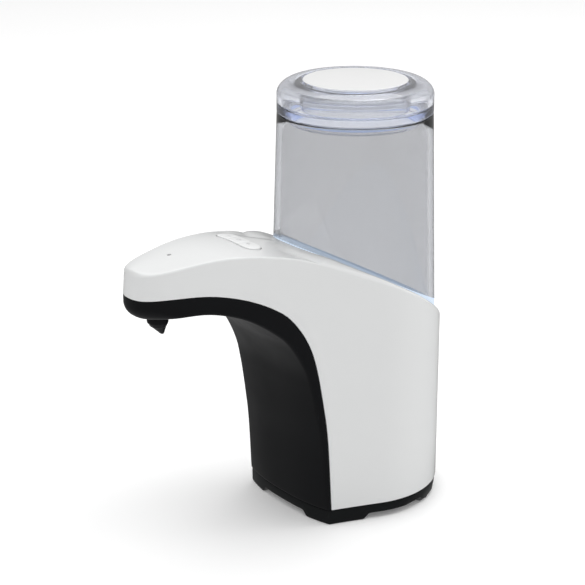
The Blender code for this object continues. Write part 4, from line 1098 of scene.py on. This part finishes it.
def make_door():
    half_x, half_y = BOX_HALF
    front = CELL_BACK - half_y - 3 * MM + GAP
    leaf = box_cutter(at(-half_x, front, PLATE_BOTTOM), at(half_x, DOOR_AXIS_BACK, PLATE_BOTTOM + 2 * MM), "door_leaf")
    leaf.data.materials.append(BASE_BLACK)
    soften(leaf, 0.35 * MM, 3)
    barrel = rod_cutter(1.0 * MM, at(-half_x, DOOR_AXIS_BACK, DOOR_AXIS_Z), at(half_x, DOOR_AXIS_BACK, DOOR_AXIS_Z), 32)
    joined(leaf, barrel)
    ribs = [front + (2.6 + 1.4 * step) * MM for step in range(5)]
    cut(leaf, *[box_cutter(at(-7 * MM, rib, PLATE_BOTTOM - 1 * MM), at(7 * MM, rib + 0.6 * MM, PLATE_BOTTOM + 0.4 * MM))
                for rib in ribs])
    smoothed(leaf, 35)
    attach(leaf, "battery_door")
    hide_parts("battery_door")


def make_screws():
    for i, (x, back) in enumerate(SCREW_PLACES):
        profile = [(0, 20 * MM), (1.1 * MM, 18.8 * MM)]
        for k in range(16):
            z = 18.6 - 0.8 * k
            profile += [(1.2 * MM, z * MM), (0.95 * MM, (z - 0.4) * MM)]
        profile += turned_profile(0, 0, ((1.2, 5.2), (2.75, 5.1), (2.8, 4.9), (2.6, 4.2), (1.9, 3.75), (0, 3.6)))
        screw = turned(f"screw_{i + 1}", profile, STEEL, x, back, 32, 30)
        cut(screw, *[box_cutter(at(x - across * MM, back - along * MM, 3 * MM),
                                at(x + across * MM, back + along * MM, 4.7 * MM))
                     for across, along in ((1.6, 0.28), (0.28, 1.6))])
        smoothed(screw, 30)
        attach(screw, "housing")
        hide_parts(f"base_screw_{i + 1}")


# ---- stage ----

def make_stage():
    bm = bmesh.new()
    bmesh.ops.create_grid(bm, x_segments=1, y_segments=1, size=9.0)
    white = finish("floor_white", (0.90, 0.90, 0.90), 0.9, tone=0.002, spread=0.02, grain=200, bump=0.0,
                   glow=((1, 1, 1), 0.12))
    floor = from_bmesh("floor", bm, white, outward=False)
    floor.visible_glossy = False
    world = bpy.context.scene.world or bpy.data.worlds.new("studio")
    bpy.context.scene.world = world
    world.use_nodes = True
    tree = world.node_tree
    sky = tree.nodes["Background"]
    place = tree.nodes.new("ShaderNodeTexCoord")
    split = tree.nodes.new("ShaderNodeSeparateXYZ")
    rise = tree.nodes.new("ShaderNodeMapRange")
    set_inputs(rise, From_Min=-1)
    shade = tree.nodes.new("ShaderNodeValToRGB")
    tree.links.new(place.outputs["Generated"], split.inputs[0])
    tree.links.new(split.outputs["Z"], rise.inputs["Value"])
    tree.links.new(rise.outputs["Result"], shade.inputs["Fac"])
    tree.links.new(shade.outputs["Color"], sky.inputs["Color"])
    # position from below to above, and level of grey there
    stops = ((0.0, 0.75), (0.12, 0.6), (0.28, 0.35), (0.48, 0.35), (0.53, 0.65), (1.0, 0.98))
    while len(shade.color_ramp.elements) < len(stops):
        shade.color_ramp.elements.new(0.5)
    for stop, (position, level) in zip(shade.color_ramp.elements, stops):
        stop.position = position
        stop.color = (level, level, level, 1)
    set_inputs(sky, Strength=0.85)
    lights = (
        # name, place, target, width, height, watts
        ("overhead", (0.0, 0.2, 1.5), (0, 0, 0.1), 1.6, 1.6, 13),
        ("left_soft", (-0.9, -0.9, 0.7), (0, 0, 0.1), 0.9, 1.1, 0.4),
        ("right_soft", (0.5, 1.3, 0.8), (0, 0, 0.1), 0.8, 1.2, 3.2),
    )
    for name, place, target, width, height, watts in lights:
        lamp = bpy.data.lights.new(name, "AREA")
        lamp.shape = "RECTANGLE"
        lamp.size = width
        lamp.size_y = height
        lamp.energy = watts
        stand = bpy.data.objects.new(name, lamp)
        bpy.context.scene.collection.objects.link(stand)
        stand.location = place
        stand.rotation_euler = (Vector(target) - Vector(place)).to_track_quat("-Z", "Y").to_euler()


CAMERA_PLACE = (0.65544, -0.481115, 0.39463)
CAMERA_DIP = 19.185
CAMERA_TURN = 53.3875
FOCAL_LENGTH = 110.77


def make_camera():
    lens = bpy.data.cameras.new("camera")
    lens.lens = FOCAL_LENGTH
    lens.sensor_width = 36
    camera = bpy.data.objects.new("camera", lens)
    bpy.context.scene.collection.objects.link(camera)
    camera.location = CAMERA_PLACE
    camera.rotation_euler = (math.radians(90 - CAMERA_DIP), 0, math.radians(CAMERA_TURN))
    bpy.context.scene.camera = camera


dress_nodes()
make_shell()
make_socket()
make_keys()
make_lens()
make_cover()
make_nozzle()
make_tank()
make_lid()
make_seal()
make_base()
make_door()
make_screws()
make_stage()
make_camera()
bpy.context.scene.view_settings.view_transform = "Standard"

bpy.context.view_layer.update()
